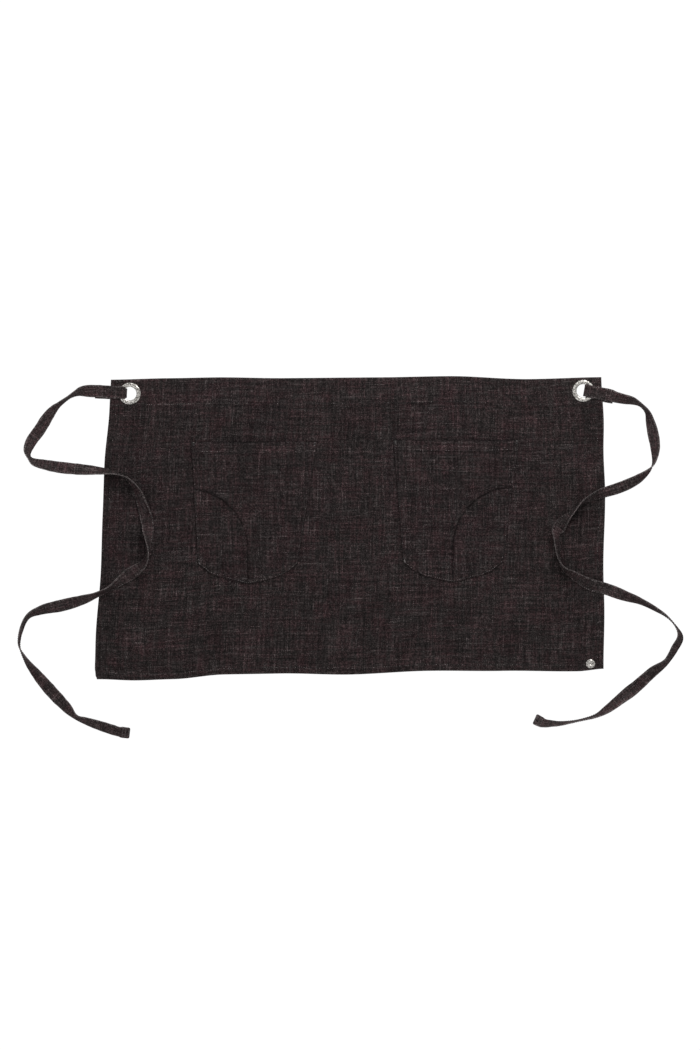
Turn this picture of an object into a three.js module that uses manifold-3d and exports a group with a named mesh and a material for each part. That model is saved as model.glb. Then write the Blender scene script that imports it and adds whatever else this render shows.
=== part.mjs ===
// A waist apron lying flat, face up: a hemmed cloth panel with two pieced patch pockets, an eyelet
// at each top corner with a flat cloth tie looped through it, and a capped rivet at one bottom corner.
// Millimetres. +X is right, +Y towards the waist edge, +Z up from the surface it lies on.
import * as THREE from 'three';
import { mergeVertices } from 'three/addons/utils/BufferGeometryUtils.js';
import Module from 'manifold-3d';

const wasm = await Module();
wasm.setup();

// Panel
const panelWidth = 762;
const panelHeight = 457;
const cloth = 1;
const hemThickness = 2.2;
const waistHem = 41;
const sideHem = 11;
const bottomHem = 11;
const hemStep = 2;
const edgeBow = 5;
const largestCell = 38;

// Pockets
const pocketMouth = 192;
const pocketDepth = 217;
const pocketBase = 152;
const pocketMouthHem = 18;
const pocketSideHem = 8;
const pocketHemThickness = 1.9;
const pocketBulge = 7;
const pocketSeamDrop = 72;
const pocketSeamRadius = 92;
const pocketBelowWaist = 97;
const leftPocketFromCentre = 146;
const rightPocketFromCentre = 161;
const seamGap = 0.4;

// Eyelets
const eyeletOuter = 33.4;
const eyeletHole = 20.4;
const eyeletWall = 0.6;
const eyeletRingHeight = 1.6;
const eyeletFlange = 28;
const eyeletFlangeThickness = 0.5;
const leftEyeletFromSide = 30;
const leftEyeletFromTop = 23;
const rightEyeletFromSide = 27.5;
const rightEyeletFromTop = 21;

// Rivet
const rivetCap = 14.4;
const rivetCapHeight = 1.7;
const rivetPost = 4;
const rivetBack = 10;
const rivetBackThickness = 0.8;
const rivetFromSide = 18.5;
const rivetFromBottom = 9.5;

// Ties
const tieWidth = 19;
const tieThickness = 1.6;
const tieEndHem = 14;
const tieEndExtraWidth = 2;
const tieEndThickness = 2.4;
const tieStepsPerPlace = 2;
const sewnLength = 15;

// Clearance between neighbouring pieces, and how far a cutting shape reaches past what it cuts
const gap = 0.3;
const cutPast = 1;

// Sides of the round shapes
const eyeletSides = 32;
const rivetSides = 24;
const postSides = 16;

// How far the flat corner round each eyelet is raised to clear the tie's layer beneath it
const cornerPlateau = 18;
const cornerFall = 28;

// Small helpers
const mix = (a, b, t) => a + (b - a) * t;
const clamp = (t) => Math.min(1, Math.max(0, t));
const ease = (t) => clamp(t) ** 2 * (3 - 2 * clamp(t));

// The value of one column of a table at a place along it, eased between its rows
function follow(table, place, column) {
  const last = table.length - 1;
  if (place <= table[0].along) return table[0][column];
  if (place >= table[last].along) return table[last][column];
  const next = table.findIndex((row) => row.along > place);
  const [a, b] = [table[next - 1], table[next]];
  return mix(a[column], b[column], ease((place - a.along) / (b.along - a.along)));
}

// The same with straight runs between the rows
function followStraight(table, place, column) {
  const next = Math.max(1, table.findIndex((row) => row.along >= place));
  const [a, b] = [table[next - 1], table[next]];
  return mix(a[column], b[column], clamp((place - a.along) / (b.along - a.along)));
}

// A geometry with every point moved by a function, as one closed mesh with shared points
function reshape(geometry, move) {
  const place = geometry.attributes.position;
  const point = new THREE.Vector3();
  for (let i = 0; i < place.count; i += 1) {
    point.fromBufferAttribute(place, i);
    move(point);
    place.setXYZ(i, point.x, point.y, point.z);
  }
  return welded(geometry);
}

function welded(geometry) {
  const bare = new THREE.BufferGeometry();
  bare.setAttribute('position', geometry.attributes.position.clone());
  bare.setIndex(geometry.index ? geometry.index.clone() : null);
  return mergeVertices(bare, 1e-4);
}

// To a solid for cutting and joining, and back
function toSolid(geometry) {
  const whole = welded(geometry);
  const vertProperties = new Float32Array(whole.attributes.position.array);
  const triVerts = new Uint32Array(whole.index.array);
  return new wasm.Manifold(new wasm.Mesh({ numProp: 3, vertProperties, triVerts }));
}

function toGeometry(solid) {
  const mesh = solid.getMesh();
  const geometry = new THREE.BufferGeometry();
  geometry.setAttribute('position', new THREE.Float32BufferAttribute(mesh.vertProperties, 3));
  geometry.setIndex(Array.from(mesh.triVerts));
  return geometry;
}

function disc(radius, bottom, top, { x, y }, sides) {
  const geometry = new THREE.CylinderGeometry(radius, radius, top - bottom, sides);
  geometry.rotateX(Math.PI / 2);
  geometry.translate(x, y, (top + bottom) / 2);
  return toSolid(geometry);
}

// Panel outline: corners as shares of half the width and height, and how far each lying edge
// strays outwards from the straight line between its corners, as a share of edgeBow
const corners = {
  topLeft: { across: -0.955, up: 0.989 },
  topRight: { across: 1.002, up: 1.006 },
  bottomLeft: { across: -1.01, up: -1.005 },
  bottomRight: { across: 1.011, up: -0.935 },
};
const topBow = [
  { along: 0, out: 0 }, { along: 0.12, out: 0.36 }, { along: 0.22, out: 0.55 }, { along: 0.35, out: 0.2 },
  { along: 0.55, out: 0.3 }, { along: 0.69, out: 0.55 }, { along: 0.85, out: -0.48 }, { along: 1, out: 0 },
];
const bottomBow = [
  { along: 0, out: 0 }, { along: 0.08, out: 0.6 }, { along: 0.15, out: 0.45 }, { along: 0.25, out: -0.65 },
  { along: 0.36, out: -0.6 }, { along: 0.5, out: 0.15 }, { along: 0.65, out: -0.48 }, { along: 0.8, out: 0 },
  { along: 0.95, out: 0.6 }, { along: 1, out: 0 },
];
const leftBow = [
  { along: 0, out: 0 }, { along: 0.1, out: 0.05 }, { along: 0.28, out: 0.82 }, { along: 0.45, out: 0.66 },
  { along: 0.64, out: 0.42 }, { along: 0.85, out: 1.06 }, { along: 0.96, out: 0.9 }, { along: 1, out: 0 },
];
const rightBow = [
  { along: 0, out: 0 }, { along: 0.16, out: 0.66 }, { along: 0.25, out: 0.5 }, { along: 0.4, out: 0.9 },
  { along: 0.66, out: 0.18 }, { along: 0.8, out: 0.4 }, { along: 1, out: 0 },
];
const cornerPoint = ({ across, up }) => ({ x: (across * panelWidth) / 2, y: (up * panelHeight) / 2 });
const topLeft = cornerPoint(corners.topLeft);
const topRight = cornerPoint(corners.topRight);
const bottomLeft = cornerPoint(corners.bottomLeft);
const bottomRight = cornerPoint(corners.bottomRight);

function edgeY(from, to, bow, side, x) {
  const along = clamp((x - from.x) / (to.x - from.x));
  return mix(from.y, to.y, along) + side * edgeBow * follow(bow, along, 'out');
}

function edgeX(from, to, bow, side, y) {
  const along = clamp((y - from.y) / (to.y - from.y));
  return mix(from.x, to.x, along) + side * edgeBow * follow(bow, along, 'out');
}

const topEdge = (x) => edgeY(topLeft, topRight, topBow, 1, x);
const bottomEdge = (x) => edgeY(bottomLeft, bottomRight, bottomBow, -1, x);
const leftEdge = (y) => edgeX(topLeft, bottomLeft, leftBow, -1, y);
const rightEdge = (y) => edgeX(topRight, bottomRight, rightBow, 1, y);

// A place given by its distances from two edges. Each distance is measured at the other's place, so
// the two are settled in turn.
const settleRounds = 5;

function insetPlace(sideEdge, inward, fromSide, endEdge, fromEnd) {
  let x = sideEdge(0) + inward * fromSide;
  let y = endEdge(x) + fromEnd;
  for (let round = 0; round < settleRounds; round += 1) {
    x = sideEdge(y) + inward * fromSide;
    y = endEdge(x) + fromEnd;
  }
  return { x, y };
}

// Eyelet places, and the way each tie leaves its eyelet: its heading in degrees from +X, and how
// far outwards from the eyelet's centre the tie stands in the hole
const eyelets = {
  left: {
    ...insetPlace(leftEdge, 1, leftEyeletFromSide, topEdge, -leftEyeletFromTop),
    heading: 177,
    standsOut: 5.2,
    sewnFrom: 38,
  },
  right: {
    ...insetPlace(rightEdge, -1, rightEyeletFromSide, topEdge, -rightEyeletFromTop),
    heading: -10,
    standsOut: 1.9,
    sewnFrom: 37,
  },
};
const rivetPlace = insetPlace(rightEdge, -1, rivetFromSide, bottomEdge, rivetFromBottom);

// Height of the panel's underside: flat on the surface, and raised at the two eyelets, where the
// tie's back layer runs out beneath the corner
const cornerRise = tieThickness + 2 * gap;

function underside(x, y) {
  let rise = 0;
  for (const eyelet of Object.values(eyelets)) {
    const turn = THREE.MathUtils.degToRad(eyelet.heading);
    const out = (x - eyelet.x) * Math.cos(turn) + (y - eyelet.y) * Math.sin(turn);
    const side = (y - eyelet.y) * Math.cos(turn) - (x - eyelet.x) * Math.sin(turn);
    const away = out > 0 ? Math.abs(side) : Math.hypot(out, side);
    rise = Math.max(rise, cornerRise * (1 - ease((away - cornerPlateau) / cornerFall)));
  }
  return rise;
}

// Stations across or up the panel: the named ones, with wide gaps between them divided evenly
function stations(named) {
  const list = [named[0]];
  for (let i = 1; i < named.length; i += 1) {
    const parts = Math.ceil((named[i] - named[i - 1]) / largestCell);
    for (let part = 1; part <= parts; part += 1) list.push(mix(named[i - 1], named[i], part / parts));
  }
  return list;
}

const columns = stations([
  0,
  sideHem - hemStep,
  sideHem,
  leftEyeletFromSide + cornerPlateau,
  leftEyeletFromSide + cornerPlateau + cornerFall,
  panelWidth - rightEyeletFromSide - cornerPlateau - cornerFall,
  panelWidth - rightEyeletFromSide - cornerPlateau,
  panelWidth - sideHem,
  panelWidth - sideHem + hemStep,
  panelWidth,
]);
const rows = stations([
  0,
  bottomHem - hemStep,
  bottomHem,
  panelHeight - leftEyeletFromTop - cornerPlateau - cornerFall,
  panelHeight - waistHem,
  panelHeight - waistHem + hemStep,
  panelHeight - leftEyeletFromTop,
  panelHeight,
]);

// A place on the panel from its shares across and up
function panelPlace(across, up) {
  let x = (across - 0.5) * panelWidth;
  let y = (up - 0.5) * panelHeight;
  for (let round = 0; round < settleRounds; round += 1) {
    const nextX = mix(leftEdge(y), rightEdge(y), across);
    y = mix(bottomEdge(x), topEdge(x), up);
    x = nextX;
  }
  return { x, y };
}

function clothThickness(fromLeft, fromBottom) {
  const inSide = fromLeft <= sideHem - hemStep || fromLeft >= panelWidth - sideHem + hemStep;
  const inEnd = fromBottom <= bottomHem - hemStep || fromBottom >= panelHeight - waistHem + hemStep;
  return inSide || inEnd ? hemThickness : cloth;
}

function makePanel() {
  const box = new THREE.BoxGeometry(1, 1, 1, columns.length - 1, rows.length - 1, 1);
  const sheet = reshape(box, (point) => {
    const fromLeft = columns[Math.round((point.x + 0.5) * (columns.length - 1))];
    const fromBottom = rows[Math.round((point.y + 0.5) * (rows.length - 1))];
    const { x, y } = panelPlace(fromLeft / panelWidth, fromBottom / panelHeight);
    const top = point.z > 0 ? clothThickness(fromLeft, fromBottom) : 0;
    point.set(x, y, underside(x, y) + top);
  });
  let solid = toSolid(sheet);
  const above = cornerRise + hemThickness + cutPast;
  const flangeRecess = cornerRise + eyeletFlangeThickness + gap;
  const backRecess = rivetBackThickness + gap;
  for (const place of Object.values(eyelets)) {
    solid = solid.subtract(disc(eyeletHole / 2 + eyeletWall + gap, -cutPast, above, place, eyeletSides));
    solid = solid.subtract(disc(eyeletFlange / 2 + gap, -cutPast, flangeRecess, place, eyeletSides));
  }
  solid = solid.subtract(disc(rivetPost / 2 + gap, -cutPast, above, rivetPlace, postSides));
  solid = solid.subtract(disc(rivetBack / 2 + gap, -cutPast, backRecess, rivetPlace, rivetSides));
  return toGeometry(solid);
}

// Height of the panel's face at a place, or of the surface it lies on outside its edges
function faceHeight(x, y) {
  const inside = Math.min(x - leftEdge(y), rightEdge(y) - x, y - bottomEdge(x), topEdge(x) - y);
  if (inside < 0) return 0;
  const sideIn = Math.min(x - leftEdge(y), rightEdge(y) - x);
  const hemmed = sideIn < sideHem + hemStep
    || y - bottomEdge(x) < bottomHem + hemStep
    || topEdge(x) - y < waistHem + hemStep;
  return underside(x, y) + (hemmed ? hemThickness : cloth);
}

// Pockets. Each is a shield: a straight hemmed mouth, sides that taper to the base, and a base that
// rounds down to a point. across runs from the panel's outer side to its middle.
const baseOutline = [
  { along: 0, down: 0.855 }, { along: 0.04, down: 0.875 }, { along: 0.12, down: 0.922 },
  { along: 0.22, down: 0.95 }, { along: 0.35, down: 0.972 }, { along: 0.5, down: 1 },
  { along: 0.64, down: 0.978 }, { along: 0.78, down: 0.955 }, { along: 0.9, down: 0.912 },
  { along: 0.97, down: 0.872 }, { along: 1, down: 0.855 },
];
const pockets = {
  left: { inward: 1, x: -leftPocketFromCentre, outerLean: 0.25 },
  right: { inward: -1, x: rightPocketFromCentre, outerLean: 0.62 },
};
const pocketColumns = 18;
const pocketRows = 12;
const seamSteps = 12;

// Shares across and down the pocket at its grid lines, close together at the hems
function shareAt(index, count, fixed) {
  const inner = count - 2 * fixed.length + 1;
  if (index < fixed.length) return fixed[index];
  if (index > count - fixed.length) return 1 - fixed[count - index];
  const first = fixed[fixed.length - 1];
  return mix(first, 1 - first, (index - fixed.length + 1) / inner);
}

function pocketPlace(pocket, across, down) {
  const spread = pocketMouth - pocketBase;
  const outer = -pocketMouth / 2 + spread * pocket.outerLean * down;
  const inner = pocketMouth / 2 - spread * (1 - pocket.outerLean) * down;
  const low = followStraight(baseOutline, across, 'down') * pocketDepth;
  return { x: pocket.x + pocket.inward * mix(outer, inner, across), y: pocketTop(pocket) - low * down };
}

const pocketTop = (pocket) => topEdge(pocket.x) - pocketBelowWaist;

// How far the pocket stands off the panel: highest in the middle of its mouth, nothing at its seams
function standOff(across, down) {
  const inSeam = pocketSideHem / pocketMouth;
  const middle = Math.sin(Math.PI * clamp((across - inSeam) / (1 - 2 * inSeam))) ** 0.6;
  return pocketBulge * middle * Math.cos((Math.PI / 2) * clamp(down / (1 - inSeam))) ** 0.8;
}

// The region of the inset: below the curved seam and on its outer side, a quarter circle from the
// pocket's outer edge to its middle and then straight down to the tip
function insetRegion(pocket, grow) {
  const middle = pocketPlace(pocket, 0.5, 1).x;
  const startX = middle - pocket.inward * pocketSeamRadius;
  const top = pocketTop(pocket) - pocketSeamDrop;
  const radius = pocketSeamRadius + grow;
  const low = pocketTop(pocket) - 2 * pocketDepth;
  const shape = new THREE.Shape();
  const far = startX - pocket.inward * pocketMouth;
  shape.moveTo(far, low);
  shape.lineTo(far, top + grow);
  shape.lineTo(startX, top + grow);
  for (let step = 1; step <= seamSteps; step += 1) {
    const turn = (Math.PI / 2) * (step / seamSteps);
    shape.lineTo(
      startX + pocket.inward * radius * Math.sin(turn),
      top - pocketSeamRadius + radius * Math.cos(turn),
    );
  }
  shape.lineTo(startX + pocket.inward * radius, low);
  const depth = 2 * (pocketBulge + pocketHemThickness + cutPast);
  const geometry = new THREE.ExtrudeGeometry(shape, { depth, bevelEnabled: false });
  return toSolid(geometry);
}

function makePocket(pocket) {
  const sideShares = [0, (pocketSideHem - hemStep / 2) / pocketMouth, (pocketSideHem + hemStep / 2) / pocketMouth];
  const mouthShare = pocketMouthHem / pocketDepth;
  const downShares = [0, mouthShare, mouthShare + hemStep / pocketDepth];
  const baseShares = [1 - sideShares[2], 1 - sideShares[1], 1];
  const box = new THREE.BoxGeometry(1, 1, 1, pocketColumns, pocketRows, 1);
  const sheet = reshape(box, (point) => {
    const column = Math.round((point.x + 0.5) * pocketColumns);
    const row = Math.round((0.5 - point.y) * pocketRows);
    const across = pocket.inward > 0
      ? shareAt(column, pocketColumns, sideShares)
      : shareAt(pocketColumns - column, pocketColumns, sideShares);
    const lower = pocketRows - row;
    let down = mix(downShares[2], baseShares[0], (row - 2) / (pocketRows - 4));
    if (row < 3) down = downShares[row];
    if (lower < 3) down = baseShares[2 - lower];
    const hemmed = row < 2 || lower < 2 || across <= sideShares[1] || across >= 1 - sideShares[1];
    const { x, y } = pocketPlace(pocket, across, down);
    const base = cloth + gap + standOff(across, down);
    point.set(x, y, base + (point.z > 0 ? (hemmed ? pocketHemThickness : cloth) : 0));
  });
  const whole = toSolid(sheet);
  return {
    body: toGeometry(whole.subtract(insetRegion(pocket, seamGap / 2))),
    inset: toGeometry(whole.intersect(insetRegion(pocket, -seamGap / 2))),
  };
}

// Eyelet: a domed front ring, the barrel through the panel and the flange pressed into its back.
// The ring's front goes from its outer edge to the hole, as shares of its breadth and height.
const ringFront = [[1, 0], [1, 0.35], [0.8, 0.9], [0.5, 1], [0.2, 0.85], [0, 0.3]];

function makeEyelet() {
  const inner = eyeletHole / 2;
  const outer = eyeletOuter / 2;
  const barrel = inner + eyeletWall;
  const face = cornerRise + hemThickness + gap;
  const flangeTop = cornerRise + eyeletFlangeThickness;
  const profile = [
    [inner, cornerRise],
    [eyeletFlange / 2, cornerRise],
    [eyeletFlange / 2, flangeTop],
    [barrel, flangeTop],
    [barrel, face],
    ...ringFront.map(([across, up]) => [mix(inner, outer, across), face + eyeletRingHeight * up]),
    [inner, cornerRise],
  ];
  return lathe(profile, eyeletSides);
}

// Rivet: a low domed cap, its post through the hem and a plain back plate. The cap goes from its
// rim to its middle, as shares of its radius and height.
const capFront = [[1, 0], [1, 0.4], [0.86, 0.85], [0.5, 1], [0, 1]];

function makeRivet() {
  const cap = rivetCap / 2;
  const face = hemThickness + gap;
  const profile = [
    [0, 0],
    [rivetBack / 2, 0],
    [rivetBack / 2, rivetBackThickness],
    [rivetPost / 2, rivetBackThickness],
    [rivetPost / 2, face],
    ...capFront.map(([across, up]) => [cap * across, face + rivetCapHeight * up]),
  ];
  return lathe(profile, rivetSides);
}

function lathe(profile, sides) {
  const geometry = new THREE.LatheGeometry(profile.map(([r, z]) => new THREE.Vector2(r, z)), sides);
  geometry.rotateX(Math.PI / 2);
  return outward(welded(geometry));
}

// The same mesh with its faces pointing out
function outward(geometry) {
  const place = geometry.attributes.position;
  const index = geometry.index;
  const [a, b, c] = [new THREE.Vector3(), new THREE.Vector3(), new THREE.Vector3()];
  let volume = 0;
  for (let i = 0; i < index.count; i += 3) {
    a.fromBufferAttribute(place, index.getX(i));
    b.fromBufferAttribute(place, index.getX(i + 1));
    c.fromBufferAttribute(place, index.getX(i + 2));
    volume += a.dot(b.clone().cross(c));
  }
  if (volume < 0) {
    for (let i = 0; i < index.count; i += 3) {
      const second = index.getX(i + 1);
      index.setX(i + 1, index.getX(i + 2));
      index.setX(i + 2, second);
    }
  }
  return geometry;
}

// Ties. Where each lies, as places from its eyelet's centre [x, y] and the strip's tilt in degrees:
// 0 lies flat, 90 stands on its edge, 180 lies flat with its back up.
const leftRoute = [
  [-44, 5, 0], [-54, 5, -14], [-70, 5, -37], [-81, 2, -66], [-92, -4, -80], [-106, -14, -75],
  [-116, -23, -59], [-126, -36, -37], [-138, -55, -24], [-149, -70, -35], [-155, -85, -57],
  [-153, -96, -79], [-145, -103, -60], [-129, -107, -45], [-106, -111, -31], [-76, -114, -38],
  [-48, -116, -58], [-25, -119, -78], [-4, -128, -97], [10, -145, -115], [19, -168, -140],
  [26, -193, -176], [28, -216, -237], [28, -238, -270], [21, -257, -298], [9, -267, -326],
  [-1, -274, -362], [-12, -282, -402], [-31, -295, -432], [-51, -305, -430], [-74, -313, -407],
  [-104, -321, -386], [-135, -328, -411], [-156, -339, -434], [-165, -359, -439],
  [-168, -381, -447], [-158, -403, -466], [-141, -426, -495], [-119, -452, -519], [-98, -474, -501],
  [-81, -491, -467], [-65, -497, -481], [-38, -506, -494], [-2, -517, -496],
];
const rightRoute = [
  [40, -6, 8], [48, -9, 34], [61, -12, 46], [75, -15, 62], [88, -22, 79], [96, -31, 74],
  [101, -47, 53], [105, -64, 36], [108, -81, 45], [108, -98, 66], [105, -112, 86], [94, -125, 111],
  [74, -138, 136], [53, -147, 145], [31, -154, 138], [13, -161, 118], [-4, -170, 95],
  [-14, -182, 86], [-26, -192, 62], [-37, -206, 8], [-42, -222, -68], [-40, -239, -72],
  [-38, -254, -84], [-31, -269, -100], [-17, -279, -120], [10, -294, -150], [35, -301, -154],
  [62, -311, -138], [85, -319, -115], [107, -330, -105], [128, -344, -93], [142, -361, -84],
  [146, -376, -64], [138, -391, -60], [126, -410, -67], [103, -428, -40], [82, -447, -27],
  [58, -466, 37], [36, -483, 59], [17, -494, 79], [-10, -501, 86], [-35, -505, 76], [-56, -504, 64],
  [-75, -496, 60],
];

// A flat strip's section with eased edges, 1 wide and 1 thick: where its face starts to fall to its
// edge, where the face is divided, and half the height of the upright edge
const faceEnd = 0.46;
const faceThird = 0.16;
const halfEdge = 0.2;

function stripSection() {
  const shape = new THREE.Shape();
  const face = [-faceEnd, -faceThird, faceThird, faceEnd];
  shape.moveTo(-0.5, -halfEdge);
  for (const across of face) shape.lineTo(across, -0.5);
  shape.lineTo(0.5, -halfEdge);
  shape.lineTo(0.5, halfEdge);
  for (const across of face) shape.lineTo(-across, 0.5);
  shape.lineTo(-0.5, halfEdge);
  shape.closePath();
  return shape;
}

// A strip swept through frames, each with a centre, the directions of its width and thickness, and both
function sweepStrip(frames) {
  const options = { depth: 1, steps: frames.length - 1, bevelEnabled: false };
  const geometry = new THREE.ExtrudeGeometry(stripSection(), options);
  return outward(reshape(geometry, (point) => {
    const frame = frames[Math.round(point.z * (frames.length - 1))];
    const [across, through] = [point.x * frame.width, point.y * frame.thickness];
    point.copy(frame.centre);
    point.addScaledVector(frame.side, across).addScaledVector(frame.normal, through);
  }));
}

// The loop through the eyelet: from the sewn end back under the corner, up through the hole, over
// the ring and out over the panel's edge to the sewn end again. The strip is gathered in the hole and
// spreads to its whole width on both sides of it.
const loopClear = 0.05;
const loopTurn = 1;
const loopSpread = 5;
const loopWholeWidth = 8;
const loopFall = 2;
const spreadBelow = 0.5;
const spreadAbove = 0.35;
const joinStep = 0.2;

function loopFrames(eyelet) {
  const half = tieThickness / 2;
  const under = half + loopClear;
  const ringTop = cornerRise + hemThickness + gap + eyeletRingHeight + gap + half;
  const overHem = cornerRise + hemThickness + 2 * gap + half;
  const onBack = 1.5 * tieThickness;
  const reach = eyelet.sewnFrom + sewnLength / 2;
  const radius = eyeletHole / 2;
  const outerFace = eyelet.standsOut + half;
  const inHole = Math.min(tieWidth, 2 * Math.sqrt(radius ** 2 - outerFace ** 2) - 3 * gap);
  const profile = [
    { out: reach, up: under, width: tieWidth },
    { out: eyeletFlange / 2 + loopWholeWidth, up: under, width: tieWidth },
    { out: eyelet.standsOut + loopSpread, up: under, width: mix(inHole, tieWidth, spreadBelow) },
    { out: eyelet.standsOut + loopTurn, up: mix(under, cornerRise, 0.5), width: inHole },
    { out: eyelet.standsOut, up: cornerRise, width: inHole },
    { out: eyelet.standsOut, up: cornerRise + hemThickness + gap, width: inHole },
    { out: eyelet.standsOut + loopTurn, up: ringTop - gap, width: mix(inHole, tieWidth, spreadAbove) },
    { out: eyeletOuter / 2 - loopSpread, up: ringTop, width: tieWidth },
    { out: eyeletOuter / 2 - loopTurn, up: ringTop, width: tieWidth },
    { out: eyeletOuter / 2 + loopSpread, up: overHem + gap, width: tieWidth },
    { out: eyelet.sewnFrom - loopSpread, up: overHem, width: tieWidth },
    { out: eyelet.sewnFrom + loopFall, up: onBack + joinStep, width: tieWidth },
    { out: reach, up: onBack, width: tieWidth },
  ];
  const turn = THREE.MathUtils.degToRad(eyelet.heading);
  const outward3 = new THREE.Vector3(Math.cos(turn), Math.sin(turn), 0);
  const side = new THREE.Vector3(-Math.sin(turn), Math.cos(turn), 0);
  const centres = profile.map(({ out, up }) => (
    new THREE.Vector3(eyelet.x, eyelet.y, up).addScaledVector(outward3, out)
  ));
  return centres.map((centre, i) => {
    const before = centres[Math.max(0, i - 1)];
    const after = centres[Math.min(centres.length - 1, i + 1)];
    const along = after.clone().sub(before).normalize();
    const normal = along.clone().cross(side).normalize();
    return { centre, side, normal, width: profile[i].width, thickness: tieThickness };
  });
}

// The free length: its lower edge rests on whatever lies beneath it, panel or surface
function freeFrames(eyelet, route) {
  const curve = new THREE.CatmullRomCurve3(route.map(([x, y, tilt]) => (
    new THREE.Vector3(eyelet.x + x, eyelet.y + y, tilt)
  )), false, 'centripetal');
  const steps = tieStepsPerPlace * (route.length - 1);
  const points = Array.from({ length: steps + 1 }, (_, i) => curve.getPoint(i / steps));
  const length = flatLength(points);
  let gone = 0;
  const frames = points.map((point, i) => {
    const before = points[Math.max(0, i - 1)];
    const after = points[Math.min(steps, i + 1)];
    const along = new THREE.Vector3(after.x - before.x, after.y - before.y, 0).normalize();
    const level = new THREE.Vector3(-along.y, along.x, 0);
    const tilt = THREE.MathUtils.degToRad(point.z);
    const side = level.clone().multiplyScalar(Math.cos(tilt));
    side.z = Math.sin(tilt);
    const normal = along.clone().cross(side).normalize();
    if (i > 0) gone += Math.hypot(point.x - points[i - 1].x, point.y - points[i - 1].y);
    const inHem = length - gone < tieEndHem;
    const width = tieWidth + (inHem ? tieEndExtraWidth : 0);
    const thickness = inHem ? tieEndThickness : tieThickness;
    const centre = new THREE.Vector3(point.x, point.y, 0);
    return { centre, side, normal, width, thickness, along };
  });
  const under = frames.map((frame) => heightUnder(frame));
  frames.forEach((frame, i) => {
    const near = under.slice(Math.max(0, i - 1), i + 2);
    const rest = Math.max(...near);
    const rise = Math.abs(frame.side.z) * frame.width + Math.abs(frame.normal.z) * frame.thickness;
    frame.centre.z = rest + rise / 2;
  });
  return frames;
}

function flatLength(points) {
  let length = 0;
  for (let i = 1; i < points.length; i += 1) {
    length += Math.hypot(points[i].x - points[i - 1].x, points[i].y - points[i - 1].y);
  }
  return length;
}

// The highest place beneath a short stretch of the strip, looked for at shares of its width and at
// distances ahead and behind
const lookAcross = [-0.55, -0.3, 0, 0.3, 0.55];
const lookAlong = [-6, 0, 6];

function heightUnder({ centre, side, along, width }) {
  let highest = 0;
  for (const share of lookAcross) {
    for (const ahead of lookAlong) {
      const x = centre.x + side.x * width * share + along.x * ahead;
      const y = centre.y + side.y * width * share + along.y * ahead;
      const face = faceHeight(x, y);
      highest = Math.max(highest, face > 0 ? face + gap : 0);
    }
  }
  return highest;
}

// The sewn stretch, where the loop's two layers and the start of the free length are stitched flat
function sewnBlock(eyelet) {
  const height = 2 * tieThickness + joinStep;
  const box = new THREE.BoxGeometry(sewnLength, tieWidth + 2 * joinStep, height);
  box.translate(eyelet.sewnFrom + sewnLength / 2, 0, height / 2);
  box.rotateZ(THREE.MathUtils.degToRad(eyelet.heading));
  box.translate(eyelet.x, eyelet.y, 0);
  return box;
}

function makeTie(eyelet, route) {
  const loop = toSolid(sweepStrip(loopFrames(eyelet)));
  const free = toSolid(sweepStrip(freeFrames(eyelet, route)));
  return toGeometry(loop.add(toSolid(sewnBlock(eyelet))).add(free));
}

// Colours and finishes
const charcoal = new THREE.MeshStandardMaterial({ color: 0x2c2525, roughness: 0.95, metalness: 0 });
const tieCharcoal = new THREE.MeshStandardMaterial({ color: 0x2e2727, roughness: 0.95, metalness: 0 });
const nickel = new THREE.MeshStandardMaterial({ color: 0xb9b7b2, roughness: 0.35, metalness: 1 });

const apron = new THREE.Group();

function put(name, geometry, material, place = { x: 0, y: 0 }) {
  const mesh = new THREE.Mesh(geometry, material.clone());
  mesh.name = name;
  mesh.position.set(place.x, place.y, 0);
  apron.add(mesh);
}

put('panel', makePanel(), charcoal);
for (const [side, pocket] of Object.entries(pockets)) {
  const { body, inset } = makePocket(pocket);
  put(`pocket_${side}`, body, charcoal);
  put(`pocket_${side}_inset`, inset, charcoal);
}
for (const [side, eyelet] of Object.entries(eyelets)) {
  put(`eyelet_${side}`, makeEyelet(), nickel, eyelet);
}
put('rivet', makeRivet(), nickel, rivetPlace);
put('tie_left', makeTie(eyelets.left, leftRoute), tieCharcoal);
put('tie_right', makeTie(eyelets.right, rightRoute), tieCharcoal);

export default apron;
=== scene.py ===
"""Looks of a waist apron that lies flat on white, seen from straight above. Sizes are in millimetres."""
import math

import bpy
import numpy as np
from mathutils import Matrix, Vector


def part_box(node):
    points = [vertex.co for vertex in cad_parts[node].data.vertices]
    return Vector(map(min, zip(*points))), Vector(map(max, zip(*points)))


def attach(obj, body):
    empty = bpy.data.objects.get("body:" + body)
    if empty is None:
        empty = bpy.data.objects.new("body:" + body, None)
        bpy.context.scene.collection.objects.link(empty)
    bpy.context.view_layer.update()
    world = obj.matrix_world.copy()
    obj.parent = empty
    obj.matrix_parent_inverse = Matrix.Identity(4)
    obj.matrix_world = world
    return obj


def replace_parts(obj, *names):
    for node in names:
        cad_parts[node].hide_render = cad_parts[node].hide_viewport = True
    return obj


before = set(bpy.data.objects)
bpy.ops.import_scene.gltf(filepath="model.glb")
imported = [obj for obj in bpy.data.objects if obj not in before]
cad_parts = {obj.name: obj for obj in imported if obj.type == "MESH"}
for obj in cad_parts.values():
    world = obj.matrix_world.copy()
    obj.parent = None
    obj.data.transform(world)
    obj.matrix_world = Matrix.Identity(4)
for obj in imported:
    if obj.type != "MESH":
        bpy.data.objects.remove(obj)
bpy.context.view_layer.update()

MM = 0.001

# The photograph's frame, and the camera straight above it, whose distance to its end of sight is in metres
FRAME_HEIGHT = 1596.6
FRAME_CENTRE = (-0.4, 5.0)
CAMERA_HEIGHT = 16000
SENSOR = 36
SEES_TO = 200

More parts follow.
